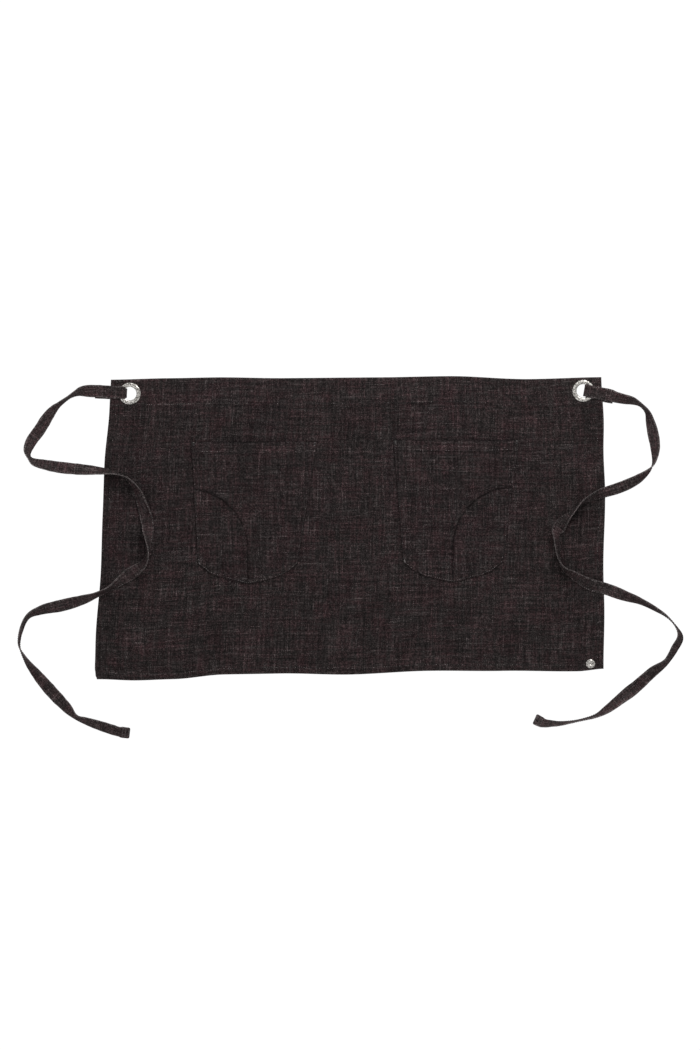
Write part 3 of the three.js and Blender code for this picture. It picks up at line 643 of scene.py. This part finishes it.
def tie_frames(eyelet):
    """The whole tie's line: its sewn end, the loop through the eyelet and the free length."""
    half = TIE_THICKNESS / 2
    ring_top = CORNER_RISE + HEM_THICKNESS + GAP + RING_HEIGHT + 0.2 + half
    over_hem = CORNER_RISE + HEM_THICKNESS + 2 * GAP + half
    on_back = 1.5 * TIE_THICKNESS
    hole, ring = EYELET_HOLE / 2, EYELET_OUTER / 2
    stands, sewn = eyelet["stands_out"], eyelet["sewn_from"]
    held, beside = eyelet["beside_in_hole"], eyelet["beside"]
    narrow = min(TIE_WIDTH, 2 * (math.sqrt(hole ** 2 - (stands + half) ** 2) - abs(held) + GAP))
    wide = TIE_WIDTH
    slip = beside + eyelet["back_slip"]
    # Out from the hole's middle, height, width and how far beside the middle
    stations = [
        (sewn + SEWN_LENGTH, half, wide, slip), (sewn + 4, half, wide, slip),
        (24, half, wide, (slip + held) / 2),
        (stands + 7, half + 0.1, (wide + narrow) / 2, held), (stands + 2.2, half + 0.9, narrow, held),
        (stands, CORNER_RISE + 1, narrow, held),
        (stands + 0.4, CORNER_RISE + HEM_THICKNESS + 1.1, narrow, held),
        (stands + 2.6, ring_top - 0.1, narrow + (wide - narrow) * 0.55, held),
        (ring - 5.5, ring_top, wide, beside), (ring - 1, ring_top, wide, beside),
        (ring + 4, over_hem + 0.6, wide, beside), (sewn - 7, over_hem, wide, beside),
        (sewn - 2, over_hem - 0.4, wide, beside), (sewn + 2, on_back + 0.3, wide, beside),
    ]
    loop = through(stations, 10)
    turn = math.radians(eyelet["heading"])
    out_way = np.array([math.cos(turn), math.sin(turn), 0])
    side_way = np.array([-math.sin(turn), math.cos(turn), 0])
    at = np.array([*eyelet["at"], 0])
    loop_centre = at + loop[:, :1] * out_way + loop[:, 3:4] * side_way + loop[:, 1:2] * np.array([0, 0, 1.0])
    loop_side = np.repeat(side_way[None], len(loop), 0)
    loop_width = loop[:, 2]

    free = through(eyelet["route"], 12)
    x, y, tilt = eyelet["at"][0] + free[:, 0], eyelet["at"][1] + free[:, 1], np.radians(free[:, 2])
    tilt = tilt - math.radians(LIES_FLATTER) * np.sin(2 * tilt)
    along = directions(np.stack([x, y], -1))
    level = np.stack([-along[:, 1], along[:, 0]], -1)
    side = np.concatenate([level * np.cos(tilt)[:, None], np.sin(tilt)[:, None]], -1)
    flat_run = np.concatenate([[0], np.cumsum(np.hypot(np.diff(x), np.diff(y)))])
    in_hem = smooth((flat_run - flat_run[-1] + TIE_END_HEM) / 1.2 + 0.5)
    width = TIE_WIDTH + TIE_END_EXTRA * in_hem
    highest = np.zeros_like(x)
    for share in (-0.5, -0.25, 0, 0.25, 0.5):
        off = side[:, :2] * width[:, None] * share
        highest = np.maximum(highest, surface_under(x + off[:, 0], y + off[:, 1]))
    out = (x - at[0]) * out_way[0] + (y - at[1]) * out_way[1]
    on_end = TIE_THICKNESS * (1 - smooth((out - sewn - SEWN_LENGTH + 1) / 7)) * (flat_run < LOOSE_FROM)
    highest = np.maximum(highest, on_end)
    reach = 7
    running = np.array([highest[max(0, k - reach):k + reach + 1].max() for k in range(len(highest))])
    rest = eased_run(running, reach)
    flat_share = np.sqrt(np.clip(1 - side[:, 2] ** 2, 0, 1))
    z = rest + (np.abs(side[:, 2]) * width + flat_share * TIE_THICKNESS) / 2
    free_centre = np.stack([x, y, z], -1)

    centre = np.vstack([loop_centre, free_centre[2:]])
    sides = np.vstack([loop_side, side[2:]])
    widths = np.concatenate([loop_width, width[2:]])
    hem = np.concatenate([np.zeros(len(loop)), in_hem[2:]])
    run = run_along(centre)
    loop_run = run[len(loop)]
    near_end = run[-1] - END_ROUND * np.array([1, 0.7, 0.45, 0.25, 0.1, 0.03, 0])
    free_steps = np.arange(loop_run, run[-1] - END_ROUND - 1, FREE_STEP)
    steps = np.concatenate([np.arange(0, loop_run, LOOP_STEP), free_steps, near_end])
    centre, sides = read_at(steps, run, centre), unit(read_at(steps, run, sides))
    widths, hem = np.interp(steps, run, widths), np.interp(steps, run, hem)
    fold = run[np.argmin((loop_centre - at) @ out_way)]
    return {"centre": centre, "side": sides, "width": widths, "hem": hem, "run": steps, "fold": fold}


# Half of a tie's section: shares of its width across, and of half its thickness there
SECTION_ACROSS = np.array([-0.5, -0.485, -0.45, -0.4, -0.34, -0.2, 0, 0.2, 0.34, 0.4, 0.45, 0.485, 0.5])
SECTION_HALF = np.array([0.25, 0.72, 1, 1, 0.8, 0.78, 0.8, 0.78, 0.8, 1, 1, 0.72, 0.25])


BACK_SHIFT = 60


def make_tie(side_name):
    eyelet = EYELETS[side_name]
    frames = tie_frames(eyelet)
    centre, side, run = frames["centre"], frames["side"], frames["run"]
    along = directions(centre)
    normal = unit(np.cross(along, side))
    seed = 20 if side_name == "left" else 40
    width = frames["width"] * (1 + WIDTH_WAVER * waver(run, run * 0, 7, 9, seed))
    from_end = np.clip((run[-1] - run) / END_ROUND, 0, 1)
    width = width - 2 * END_ROUND * (1 - np.sqrt(1 - (1 - from_end) ** 2))
    thick = TIE_THICKNESS + (TIE_END_THICKNESS - TIE_THICKNESS) * frames["hem"]
    loose = smooth((run - frames["fold"] - LOOSE_FROM) / 40) * (1 - frames["hem"])
    cup = TIE_CUP * waver(run, run * 0, 34, 9, seed + 1) * loose
    across = np.concatenate([SECTION_ACROSS, SECTION_ACROSS[::-1]])
    up = np.concatenate([SECTION_HALF, -SECTION_HALF[::-1]]) / 2
    rings, ring_points = len(run), len(across)
    bend = cup[:, None] * (1 - 4 * across[None] ** 2)
    along_run, over = np.broadcast_arrays(run[:, None], across[None] * TIE_WIDTH)
    bend = bend + TIE_RIPPLE * loose[:, None] * waver(along_run, over, 6, 8, seed + 2)
    points = (centre[:, None] + side[:, None] * (across[None] * width[:, None])[..., None]
              + normal[:, None] * (up[None] * thick[:, None] + bend)[..., None])
    i, j = np.meshgrid(np.arange(rings - 1), np.arange(ring_points), indexing="ij")
    i, j = i.ravel(), j.ravel()
    k = (j + 1) % ring_points
    start, after = i * ring_points, (i + 1) * ring_points
    faces = np.stack([start + j, after + j, after + k, start + k], 1)
    cap = np.arange(ring_points)
    faces = [*faces, cap, (rings - 1) * ring_points + cap[::-1]]
    obj = mesh_piece(f"cloth_tie_{side_name}", points.reshape(-1, 3), faces, TIE_MATERIAL)
    face_shift = np.where(np.arange(ring_points) < len(SECTION_ACROSS), 0, BACK_SHIFT)
    place = np.stack([
        np.repeat(run[:, None], ring_points, 1),
        across[None] * width[:, None] + face_shift[None],
        np.zeros((rings, ring_points)),
    ], -1).reshape(-1, 3)
    point_values(obj, "place", place * MM, "FLOAT_VECTOR")
    wear_and_painted_highlight = np.tile(np.exp(-(0.5 - np.abs(across)) * TIE_WIDTH / 0.7), (rings, 1))
    point_values(obj, "wear_and_painted_highlight", wear_and_painted_highlight.ravel())
    # Painted shade: the tie drawn darker where it lies on the panel.
    on_panel = eased_run((surface_under(centre[:, 0], centre[:, 1]) > 0.5) * 1.0, 4)
    point_values(obj, "painted_shade_and_hem_tone", np.repeat(ON_PANEL_PAINTED_SHADE * on_panel, ring_points))
    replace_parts(obj, f"tie_{side_name}")

    from_fold = run >= frames["fold"]
    path = centre[from_fold][::3] * MM
    path = np.vstack([path, centre[-1:] * MM])
    frames.update(normal=normal, thick=thick, bend=cup)
    return frames


# Metal


def make_lathe(name, profile, at, sides, node):
    """A turned piece from its closed profile of (radius, height)."""
    turn = np.arange(sides) * 2 * math.pi / sides
    ring = np.stack([np.cos(turn), np.sin(turn)], -1)
    points = np.concatenate([
        np.concatenate([ring * radius + at, np.full((sides, 1), height)], -1) for radius, height in profile
    ])
    faces = ring_faces(len(profile), sides, closed=True)
    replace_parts(mesh_piece(name, points, faces, METAL_MATERIAL), node)


def make_eyelet(side):
    inner, outer = EYELET_HOLE / 2, EYELET_OUTER / 2
    base = CORNER_RISE
    face = CORNER_RISE + HEM_THICKNESS + GAP
    breadth = outer - inner
    front = [(1.0, 0.0), (1.0, 0.22), (0.985, 0.42), (0.95, 0.62), (0.88, 0.8), (0.76, 0.93), (0.6, 1.0),
             (0.45, 1.0), (0.3, 0.94), (0.17, 0.8), (0.07, 0.58), (0.015, 0.3), (0.0, 0.0)]
    profile = [(inner + breadth * share, face + RING_HEIGHT * up) for share, up in front]
    over_flange = base + FLANGE_THICKNESS
    profile += [(inner, base + GAP), (inner + GAP, base), (FLANGE, base), (FLANGE, over_flange),
                (inner + BARREL, over_flange), (inner + BARREL, face)]
    make_lathe(f"ring_{side}", profile[::-1], RING_AT[side], 96, f"eyelet_{side}")


def make_rivet():
    face = HEM_THICKNESS + GAP
    top = face + RIVET_CAP_HEIGHT
    profile = [(0.01, top - 0.62), (2.0, top - 0.6), (2.5, top - 0.5), (2.75, top - 0.16), (3.1, top - 0.02),
               (3.6, top), (4.6, top - 0.06), (5.6, top - 0.22), (6.4, top - 0.55), (6.95, top - 0.95),
               (7.2, top - 1.4), (7.15, face), (2, face), (2, 0.8), (5, 0.8), (5, 0), (0.01, 0)]
    make_lathe("rivet_cap", profile[::-1], RIVET_AT, 64, "rivet")


# Threads


def some_bright(count, share, seed):
    """How bright each stitch of a row is: a share of them bright, the others dull."""
    rng = np.random.default_rng(100 + seed)
    return np.where(rng.uniform(size=count) < share, rng.uniform(0.5, 1, count), rng.uniform(0, 0.15, count))


def thread_row(name, starts, ends, ups, bright):
    """Stitches from starts to ends, each a short arched thread that dips into the cloth at both ends."""
    sides, rings = THREAD_SIDES, 5
    share = np.linspace(0, 1, rings)
    arch = np.array([-0.32, 0.1, 0.18, 0.1, -0.32])
    fat = np.array([0.55, 0.95, 1, 0.95, 0.55])
    along = unit(ends - starts)
    across = unit(np.cross(along, ups))
    lift = np.cross(across, along)
    turn = np.arange(sides) * 2 * math.pi / sides
    ring = across[:, None, None] * np.cos(turn)[:, None] + lift[:, None, None] * np.sin(turn)[:, None]
    centre = starts[:, None] + (ends - starts)[:, None] * share[:, None] + lift[:, None] * arch[:, None]
    points = centre[:, :, None] + ring * (fat * THREAD_RADIUS)[None, :, None, None]
    per = sides * rings
    offsets = (np.arange(len(starts)) * per)[:, None, None]
    all_faces = (np.array(ring_faces(rings, sides))[None] + offsets).reshape(-1, 4).tolist()
    for k in range(len(starts)):
        first = k * per
        all_faces.append([first + s for s in range(sides)][::-1])
        all_faces.append([first + (rings - 1) * sides + s for s in range(sides)])
    obj = mesh_piece(name, points.reshape(-1, 3), all_faces, THREAD_MATERIAL)
    point_values(obj, "bright", np.repeat(bright, per))


def gathered(rows):
    """Rows of stitches as one: their starts, ends, ups and brightnesses."""
    return [np.concatenate(parts) for parts in zip(*rows)]


def row_of_stitches(line, seed):
    """Starts and ends of stitches along a line of places."""
    run = run_along(line)
    firsts = np.arange(0.3, run[-1] - STITCH, STITCH_PITCH)
    firsts = firsts + np.random.default_rng(seed).uniform(-0.16, 0.16, len(firsts))
    return read_at(firsts, run, line), read_at(firsts + STITCH, run, line)


def panel_line(across, up):
    """A line on the panel's face, from its shares across and up."""
    x, y = panel_place(across, up)
    return np.stack([x, y, panel_face(x, y)[0] + 0.1], -1)


# The share of bright stitches in the waist, bottom and side hems, and where the waist's row is clearest
HEM_BRIGHT = (0.2, 0.3, 0.12, 0.12)
CLEAR_BRIGHT = 0.8
CLEAR_ROW = (-312, -240)
UPRIGHT = np.array([0, 0, 1.0])


def make_panel_threads():
    dense, still = np.linspace(0, 1, 500), np.ones(500)
    waist = (PANEL_HEIGHT - WAIST_HEM + SEAM_IN_HEM) / PANEL_HEIGHT
    bottom = (BOTTOM_HEM - SEAM_IN_HEM) / PANEL_HEIGHT
    side = (SIDE_HEM - SEAM_IN_HEM) / PANEL_WIDTH
    hems = [(dense, waist * still), (dense, bottom * still), (side * still, dense),
            ((1 - side) * still, dense)]
    rows = []
    for seed, (across, up) in enumerate(hems):
        first, last = row_of_stitches(panel_line(across, up), seed)
        clearly = (seed == 0) & (first[:, 0] > CLEAR_ROW[0]) & (first[:, 0] < CLEAR_ROW[1])
        share = np.where(clearly, CLEAR_BRIGHT, HEM_BRIGHT[seed])
        rows.append((first, last, UPRIGHT + 0 * first, some_bright(len(first), share, seed)))
    starts, ends, ups, bright = gathered(rows)
    middle = (starts + ends)[:, :2] / 2
    clear = np.hypot(*(middle - RIVET_AT).T) > RIVET_CAP / 2 + 1.5
    for eyelet in EYELETS.values():
        clear &= np.hypot(*(middle - eyelet["at"]).T) > EYELET_OUTER / 2 + 2
    thread_row("hem_stitches", starts[clear], ends[clear], ups[clear], bright[clear])


# The share of bright stitches at a pocket's mouth, outer side, base and inner side
POCKET_BRIGHT = (0.3, 0.1, 0.65, 0.1)
SIDE_ROW_FROM = 0.006


def make_pocket_threads(side):
    pocket = POCKETS[side]
    mouth = (MOUTH_HEM - MOUTH_SEAM_IN) / POCKET_DEPTH
    edge = SIDE_SEAM_IN / POCKET_MOUTH
    low = 1 - SIDE_SEAM_IN / (POCKET_DEPTH * BASE_SHARE)
    dense, still = np.linspace(0, 1, 400), np.ones(400)
    over = edge + (1 - 2 * edge) * dense
    outer_down = SIDE_ROW_FROM + (low - SIDE_ROW_FROM) * dense
    inner_up = low + (SIDE_ROW_FROM - low) * dense
    seams = [(over, mouth * still), (edge * still, outer_down), (over, low * still),
             ((1 - edge) * still, inner_up)]
    rows = []
    for number, (across, down) in enumerate(seams):
        x, y, height, *_ = pocket_face(pocket, across, down)
        first, last = row_of_stitches(np.stack([x, y, height + 0.1], -1), 10 + number)
        bright = some_bright(len(first), POCKET_BRIGHT[number], 10 + number)
        rows.append((first, last, UPRIGHT + 0 * first, bright))
    tack_x = (edge * 1.6, 1 - edge * 1.6)
    steps = TACK_PITCH * np.arange(TACK_STITCHES)
    tacks = [(across, (TACK_FROM + step) / POCKET_DEPTH) for across in tack_x for step in steps]
    low_x = tack_x[pocket["tack_side"]]
    tacks += [(low_x, 1 - (LOW_TACK_FROM + step) / (POCKET_DEPTH * SIDE_SHARE)) for step in steps]
    across, down = np.array(tacks).T
    ends = []
    for shift in (-TACK_LENGTH / 2, TACK_LENGTH / 2):
        x, y, height, *_ = pocket_face(pocket, across + shift / POCKET_MOUTH, down)
        ends.append(np.stack([x, y, height + 0.25], -1))
    rows.append((*ends, UPRIGHT + 0 * ends[0], some_bright(len(tacks), pocket["tacks_bright"], 20)))
    thread_row(f"pocket_{side}_stitches", *gathered(rows))


# The share of bright stitches along a tie's edges, across its end hem and across its sewn end
TIE_BRIGHT = (0.35, 1.0, 0.6)


def make_tie_threads(side_name, frames):
    centre, side, normal, run = [frames[part] for part in ("centre", "side", "normal", "run")]
    width, thick, fold = frames["width"], frames["thick"], frames["fold"]
    in_run = (run > fold + 4) & (frames["hem"] < 0.5)
    rows = []
    for across in (-0.4, 0.4):
        for face in (1, -1):
            height = face * (thick / 2 + 0.05) + frames["bend"] * (1 - 4 * across ** 2)
            line = centre + side * (across * width)[:, None] + normal * height[:, None]
            first, last = row_of_stitches(line[in_run], 30)
            middle_run = np.linspace(run[in_run][0], run[in_run][-1], len(first))
            up = read_at(middle_run, run, normal) * face
            rows.append((first, last, unit(up), some_bright(len(first), TIE_BRIGHT[0], 30 + face)))

    def add_across(k, face, reach, off, seed, share, bright_seed):
        edge = np.linspace(-reach, reach, 60)[:, None]
        line = centre[k] + side[k] * edge * width[k] + normal[k] * face * (thick[k] / 2 + off)
        first, last = row_of_stitches(line, seed)
        rows.append((first, last, normal[k] * face + 0 * first, some_bright(len(first), share, bright_seed)))

    for where in (TIE_END_HEM - 2, TIE_END_HEM / 2, 2.0):
        k = np.argmin(np.abs(run - (run[-1] - where)))
        for face in (1, -1):
            add_across(k, face, 0.42, 0.05, 31, TIE_BRIGHT[1], 35 + face)
    sewn_from = EYELETS[side_name]["sewn_from"]
    out = np.hypot(*(centre[:, :2] - EYELETS[side_name]["at"]).T)
    elsewhere = (run < fold) | (run > fold + 80)
    for where in (sewn_from + 3, sewn_from + SEWN_LENGTH - 3):
        add_across(np.argmin(np.abs(out - where) + 100 * elsewhere), 1, 0.4, 0.08, 32, TIE_BRIGHT[2], 40)
    thread_row(f"tie_{side_name}_stitches", *gathered(rows))


# Materials


class Nodes:
    """A material's nodes, joined by short calls."""

    def __init__(self, name):
        self.material = bpy.data.materials.new(name)
        self.material.use_nodes = True
        self.tree = self.material.node_tree
        self.tree.nodes.clear()

    def add(self, kind, **settings):
        node = self.tree.nodes.new(kind)
        for key, value in settings.items():
            setattr(node, key, value)
        return node

    def join(self, value, socket):
        if isinstance(value, bpy.types.NodeSocket):
            self.tree.links.new(value, socket)
        else:
            socket.default_value = value

    def math(self, operation, a, b=0.0):
        node = self.add("ShaderNodeMath", operation=operation)
        for socket, value in zip(node.inputs, (a, b)):
            self.join(value, socket)
        return node.outputs[0]

    def flat(self, kind, x, y):
        """A flat texture over x and y."""
        node = self.add(kind)
        node.noise_dimensions = "2D"
        joined = self.add("ShaderNodeCombineXYZ")
        self.join(x, joined.inputs[0])
        self.join(y, joined.inputs[1])
        self.join(joined.outputs[0], node.inputs["Vector"])
        return node

    def noise(self, x, y, detail, roughness):
        node = self.flat("ShaderNodeTexNoise", x, y)
        node.inputs["Scale"].default_value = 1
        node.inputs["Detail"].default_value = detail
        node.inputs["Roughness"].default_value = roughness
        return node.outputs[0]

    def solid_noise(self, scale, detail):
        """Noise through the whole object, in features to a metre."""
        node = self.add("ShaderNodeTexNoise", noise_dimensions="3D")
        node.inputs["Scale"].default_value = scale
        node.inputs["Detail"].default_value = detail
        self.join(self.add("ShaderNodeTexCoord").outputs["Object"], node.inputs["Vector"])
        return node.outputs[0]

    def spread(self, value, low, high, to_low=0.0, to_high=1.0):
        node = self.add("ShaderNodeMapRange", clamp=True)
        for socket, item in zip(node.inputs, (value, low, high, to_low, to_high)):
            self.join(item, socket)
        return node.outputs[0]

    def mix(self, share, a, b):
        node = self.add("ShaderNodeMix", data_type="RGBA")
        self.join(share, node.inputs[0])
        for value, socket in ((a, node.inputs[6]), (b, node.inputs[7])):
            self.join((*value, 1.0) if isinstance(value, tuple) else value, socket)
        return node.outputs[2]

    def scaled(self, colour, factor):
        node = self.add("ShaderNodeVectorMath", operation="SCALE")
        self.join(colour, node.inputs[0])
        self.join(factor, node.inputs[3])
        return node.outputs[0]

    def attribute(self, name):
        return self.add("ShaderNodeAttribute", attribute_name=name)

    def finish(self, colour, roughness, height, depth, **fixed):
        shader = self.add("ShaderNodeBsdfPrincipled")
        self.join(colour, shader.inputs["Base Color"])
        self.join(roughness, shader.inputs["Roughness"])
        for key, value in fixed.items():
            shader.inputs[key.replace("_", " ")].default_value = value
        if height is not None:
            bump = self.add("ShaderNodeBump")
            bump.inputs["Distance"].default_value = depth
            bump.inputs["Strength"].default_value = 1
            self.join(height, bump.inputs["Height"])
            self.join(bump.outputs[0], shader.inputs["Normal"])
        output = self.add("ShaderNodeOutputMaterial")
        self.join(shader.outputs[0], output.inputs[0])
        return self.material


# The cloth's sizes in metres, and its colours
YARN = 0.00145
SLUB_REACH = 0.03
CHARCOAL = (0.0114, 0.0093, 0.0092)
MAROON = (0.0168, 0.0094, 0.0100)
PALE = (0.075, 0.067, 0.066)


TONE_STRENGTH = 0.6
YARN_RELIEF = 0.00012
YARN_SHARE = 0.85
SLUB_SHARE = 0.1

# Noises of the cloth: sizes along the weft and the warp in metres, detail, roughness, and share of the tone
TONES = {
    "broad_warp": (0.0017, 0.085, 0.0, 0.5, 1.3),
    "broad_weft": (0.085, 0.0017, 0.0, 0.5, 1.3),
    "grain": (0.0016, 0.0016, 1.0, 0.6, 0.6),
    "patch": (0.034, 0.04, 3.0, 0.6, 0.65),
    "band_warp": (0.009, 0.11, 2.0, 0.6, 0.95),
    "band_weft": (0.11, 0.009, 2.0, 0.6, 0.9),
}
SPECK_SHARE = 2.5

# How far apart neighbouring yarns look in the slubs' noise, its detail and roughness, and what it spreads to
WARP_APART, WEFT_APART, WEFT_FROM = 7.31, 5.73, 31.7
SLUB_NOISE = (1.0, 0.5)
YARN_TONES = (0.25, 0.75, 0.25, 1.75)
SLUB_BAND = (0.62, 0.8)
RED_BAND = (0.42, 0.68)

# Noises that choose the maroon yarns, with their shares of the choice
REDS = [(0.03, 0.034, 2.0, 0.55, 0.4), (0.004, 0.04, 1.0, 0.5, 0.3), (0.04, 0.004, 1.0, 0.5, 0.3)]


def cloth_material(name, lighter, edge_wear_and_highlight):
    """Slub chambray: dark yarns both ways, each with thick pale and maroon stretches."""
    n = Nodes(name)
    apart = n.add("ShaderNodeSeparateXYZ")
    n.join(n.attribute("place").outputs["Vector"], apart.inputs[0])
    u, v = apart.outputs[0], apart.outputs[1]
    yarn_u, yarn_v = n.math("DIVIDE", u, YARN), n.math("DIVIDE", v, YARN)
    index_u, index_v = n.math("FLOOR", yarn_u), n.math("FLOOR", yarn_v)
    in_u = n.math("SUBTRACT", n.math("FRACT", yarn_u), 0.5)
    in_v = n.math("SUBTRACT", n.math("FRACT", yarn_v), 0.5)
    odd = n.math("MODULO", n.math("ABSOLUTE", n.math("ADD", index_u, index_v)), 2.0)

    far_u, far_v = n.math("MULTIPLY", index_u, WARP_APART), n.math("MULTIPLY", index_v, WEFT_APART)
    warp = n.noise(far_u, n.math("DIVIDE", v, SLUB_REACH), *SLUB_NOISE)
    weft = n.noise(n.math("ADD", n.math("DIVIDE", u, SLUB_REACH), WEFT_FROM), far_v, *SLUB_NOISE)
    warp_tone = n.spread(warp, *YARN_TONES)
    weft_tone = n.spread(weft, *YARN_TONES)
    speck = n.flat("ShaderNodeTexWhiteNoise", index_u, index_v).outputs[0]

    def sized(size_u, size_v, detail, roughness):
        return n.noise(n.math("DIVIDE", u, size_u), n.math("DIVIDE", v, size_v), detail, roughness)

    even = n.math("SUBTRACT", 1.0, odd)
    top_yarn = n.math("ADD", n.math("MULTIPLY", warp_tone, odd), n.math("MULTIPLY", weft_tone, even))
    tone = n.math("MULTIPLY", n.math("SUBTRACT", top_yarn, 1.0), YARN_SHARE)
    amounts = [(sized(*row[:4]), row[4]) for row in TONES.values()]
    grain = amounts[list(TONES).index("grain")][0]
    for value, amount in [*amounts, (speck, SPECK_SHARE)]:
        tone = n.math("ADD", tone, n.math("MULTIPLY", n.math("SUBTRACT", value, 0.5), amount))
    tone = n.math("EXPONENT", n.math("MULTIPLY", tone, TONE_STRENGTH))

    red = 0.0
    for *size, share in REDS:
        red = n.math("ADD", red, n.math("MULTIPLY", sized(*size), share))
    red = n.spread(red, *RED_BAND)
    colour = n.mix(red, CHARCOAL, MAROON)
    slub = n.math("MAXIMUM", n.spread(warp, *SLUB_BAND), n.spread(weft, *SLUB_BAND))
    wear_and_painted_highlight = n.attribute("wear_and_painted_highlight").outputs["Fac"]
    colour = n.mix(n.math("MULTIPLY", slub, SLUB_SHARE), colour, PALE)
    # Mixed towards pale at worn edges, and along the painted highlight below the pockets' mouths.
    wear_and_highlight_share = n.math("MULTIPLY", wear_and_painted_highlight, n.spread(grain, 0.3, 0.7, 0.4 * edge_wear_and_highlight, 1.6 * edge_wear_and_highlight))
    colour = n.mix(wear_and_highlight_share, colour, PALE)
    colour = n.scaled(colour, n.math("MULTIPLY", tone, lighter))

    round_u = n.math("COSINE", n.math("MULTIPLY", in_u, math.pi))
    round_v = n.math("COSINE", n.math("MULTIPLY", in_v, math.pi))
    weave = n.math("ADD", n.math("MULTIPLY", round_u, odd), n.math("MULTIPLY", round_v, even))
    height = n.math("ADD", n.math("MULTIPLY", weave, 0.6), n.math("MULTIPLY", n.math("ADD", warp, weft), 0.8))
    # Painted shade: drawn darker by each piece's painted shade value, and lighter where that value is
    # negative, at the waist and mouth hems.
    painted_shade_and_hem_tone = n.attribute("painted_shade_and_hem_tone").outputs["Fac"]
    colour = n.scaled(colour, n.math("SUBTRACT", 1.0, painted_shade_and_hem_tone))
    return n.finish(colour, 0.92, height, YARN_RELIEF, Specular_IOR_Level=0.06)


DULL_THREAD = (0.012, 0.0105, 0.0107)
BRIGHT_THREAD = (0.15, 0.135, 0.132)


def thread_material():
    n = Nodes("thread")
    colour = n.mix(n.attribute("bright").outputs["Fac"], DULL_THREAD, BRIGHT_THREAD)
    return n.finish(colour, 0.6, n.solid_noise(260, 2), 0.0001, Specular_IOR_Level=0.12)


NICKEL = (0.55, 0.53, 0.50)
TARNISH = (0.12, 0.114, 0.106)


def metal_material():
    n = Nodes("nickel_plate")
    fine = n.solid_noise(520, 3)
    cells = n.add("ShaderNodeTexVoronoi", voronoi_dimensions="3D", feature="SMOOTH_F1")
    cells.inputs["Scale"].default_value = 620
    n.join(n.add("ShaderNodeTexCoord").outputs["Object"], cells.inputs["Vector"])
    mottle = n.math("ADD", fine, n.math("MULTIPLY", cells.outputs[0], 0.35))
    colour = n.mix(n.spread(mottle, 0.52, 0.74), NICKEL, TARNISH)
    rough = n.spread(fine, 0.3, 0.7, 0.26, 0.5)
    return n.finish(colour, rough, cells.outputs[0], 0.00022, Metallic=1.0)


CLOTH_MATERIAL = cloth_material("slub_cloth", lighter=0.94, edge_wear_and_highlight=0.2)
TIE_MATERIAL = cloth_material("tie_cloth", lighter=1.7, edge_wear_and_highlight=0.4)
THREAD_MATERIAL = thread_material()
METAL_MATERIAL = metal_material()

# The object

make_panel()
for name in POCKETS:
    make_pocket(name)
    make_pocket_threads(name)
make_panel_threads()
for name in EYELETS:
    make_tie_threads(name, make_tie(name))
    make_eyelet(name)
make_rivet()

# The scene

FLOOR_REACH = 15000
FLOOR_DROP = 0.3


def make_floor():
    size, low = FLOOR_REACH * MM, -FLOOR_DROP * MM
    mesh = bpy.data.meshes.new("floor")
    points = [(-size, -size, low), (size, -size, low), (size, size, low), (-size, size, low)]
    mesh.from_pydata(points, [], [(0, 1, 2, 3)])
    white = Nodes("white_floor").finish((0.03, 0.03, 0.03, 1), 1, None, 0, Specular_IOR_Level=0,
                                        Emission_Color=(1, 1, 1, 1), Emission_Strength=1)
    mesh.materials.append(white)
    floor = bpy.data.objects.new("floor", mesh)
    bpy.context.scene.collection.objects.link(floor)


def area_light(name, at, size, power):
    """A round lamp that faces the frame's middle, its place and size in metres."""
    data = bpy.data.lights.new(name, "AREA")
    data.shape = "DISK"
    data.size = size
    data.energy = power
    lamp = bpy.data.objects.new(name, data)
    lamp.location = at
    lamp.rotation_euler = (-Vector(at)).to_track_quat("-Z", "Y").to_euler()
    bpy.context.scene.collection.objects.link(lamp)


make_floor()
area_light("key", at=(0.6, 1.6, 1.5), size=1.2, power=45)
area_light("fill", at=(-1.6, -1.4, 3.0), size=2.4, power=12)

world = bpy.data.worlds.new("studio")
world.use_nodes = True
world.node_tree.nodes["Background"].inputs[0].default_value = (1, 1, 1, 1)
world.node_tree.nodes["Background"].inputs[1].default_value = 1.0
bpy.context.scene.world = world

lens = bpy.data.cameras.new("camera")
lens.lens = SENSOR * CAMERA_HEIGHT / FRAME_HEIGHT
lens.sensor_width = SENSOR
lens.clip_end = SEES_TO
camera = bpy.data.objects.new("camera", lens)
camera.location = (FRAME_CENTRE[0] * MM, FRAME_CENTRE[1] * MM, CAMERA_HEIGHT * MM)
bpy.context.scene.collection.objects.link(camera)
bpy.context.scene.camera = camera
bpy.context.scene.view_settings.view_transform = "Standard"
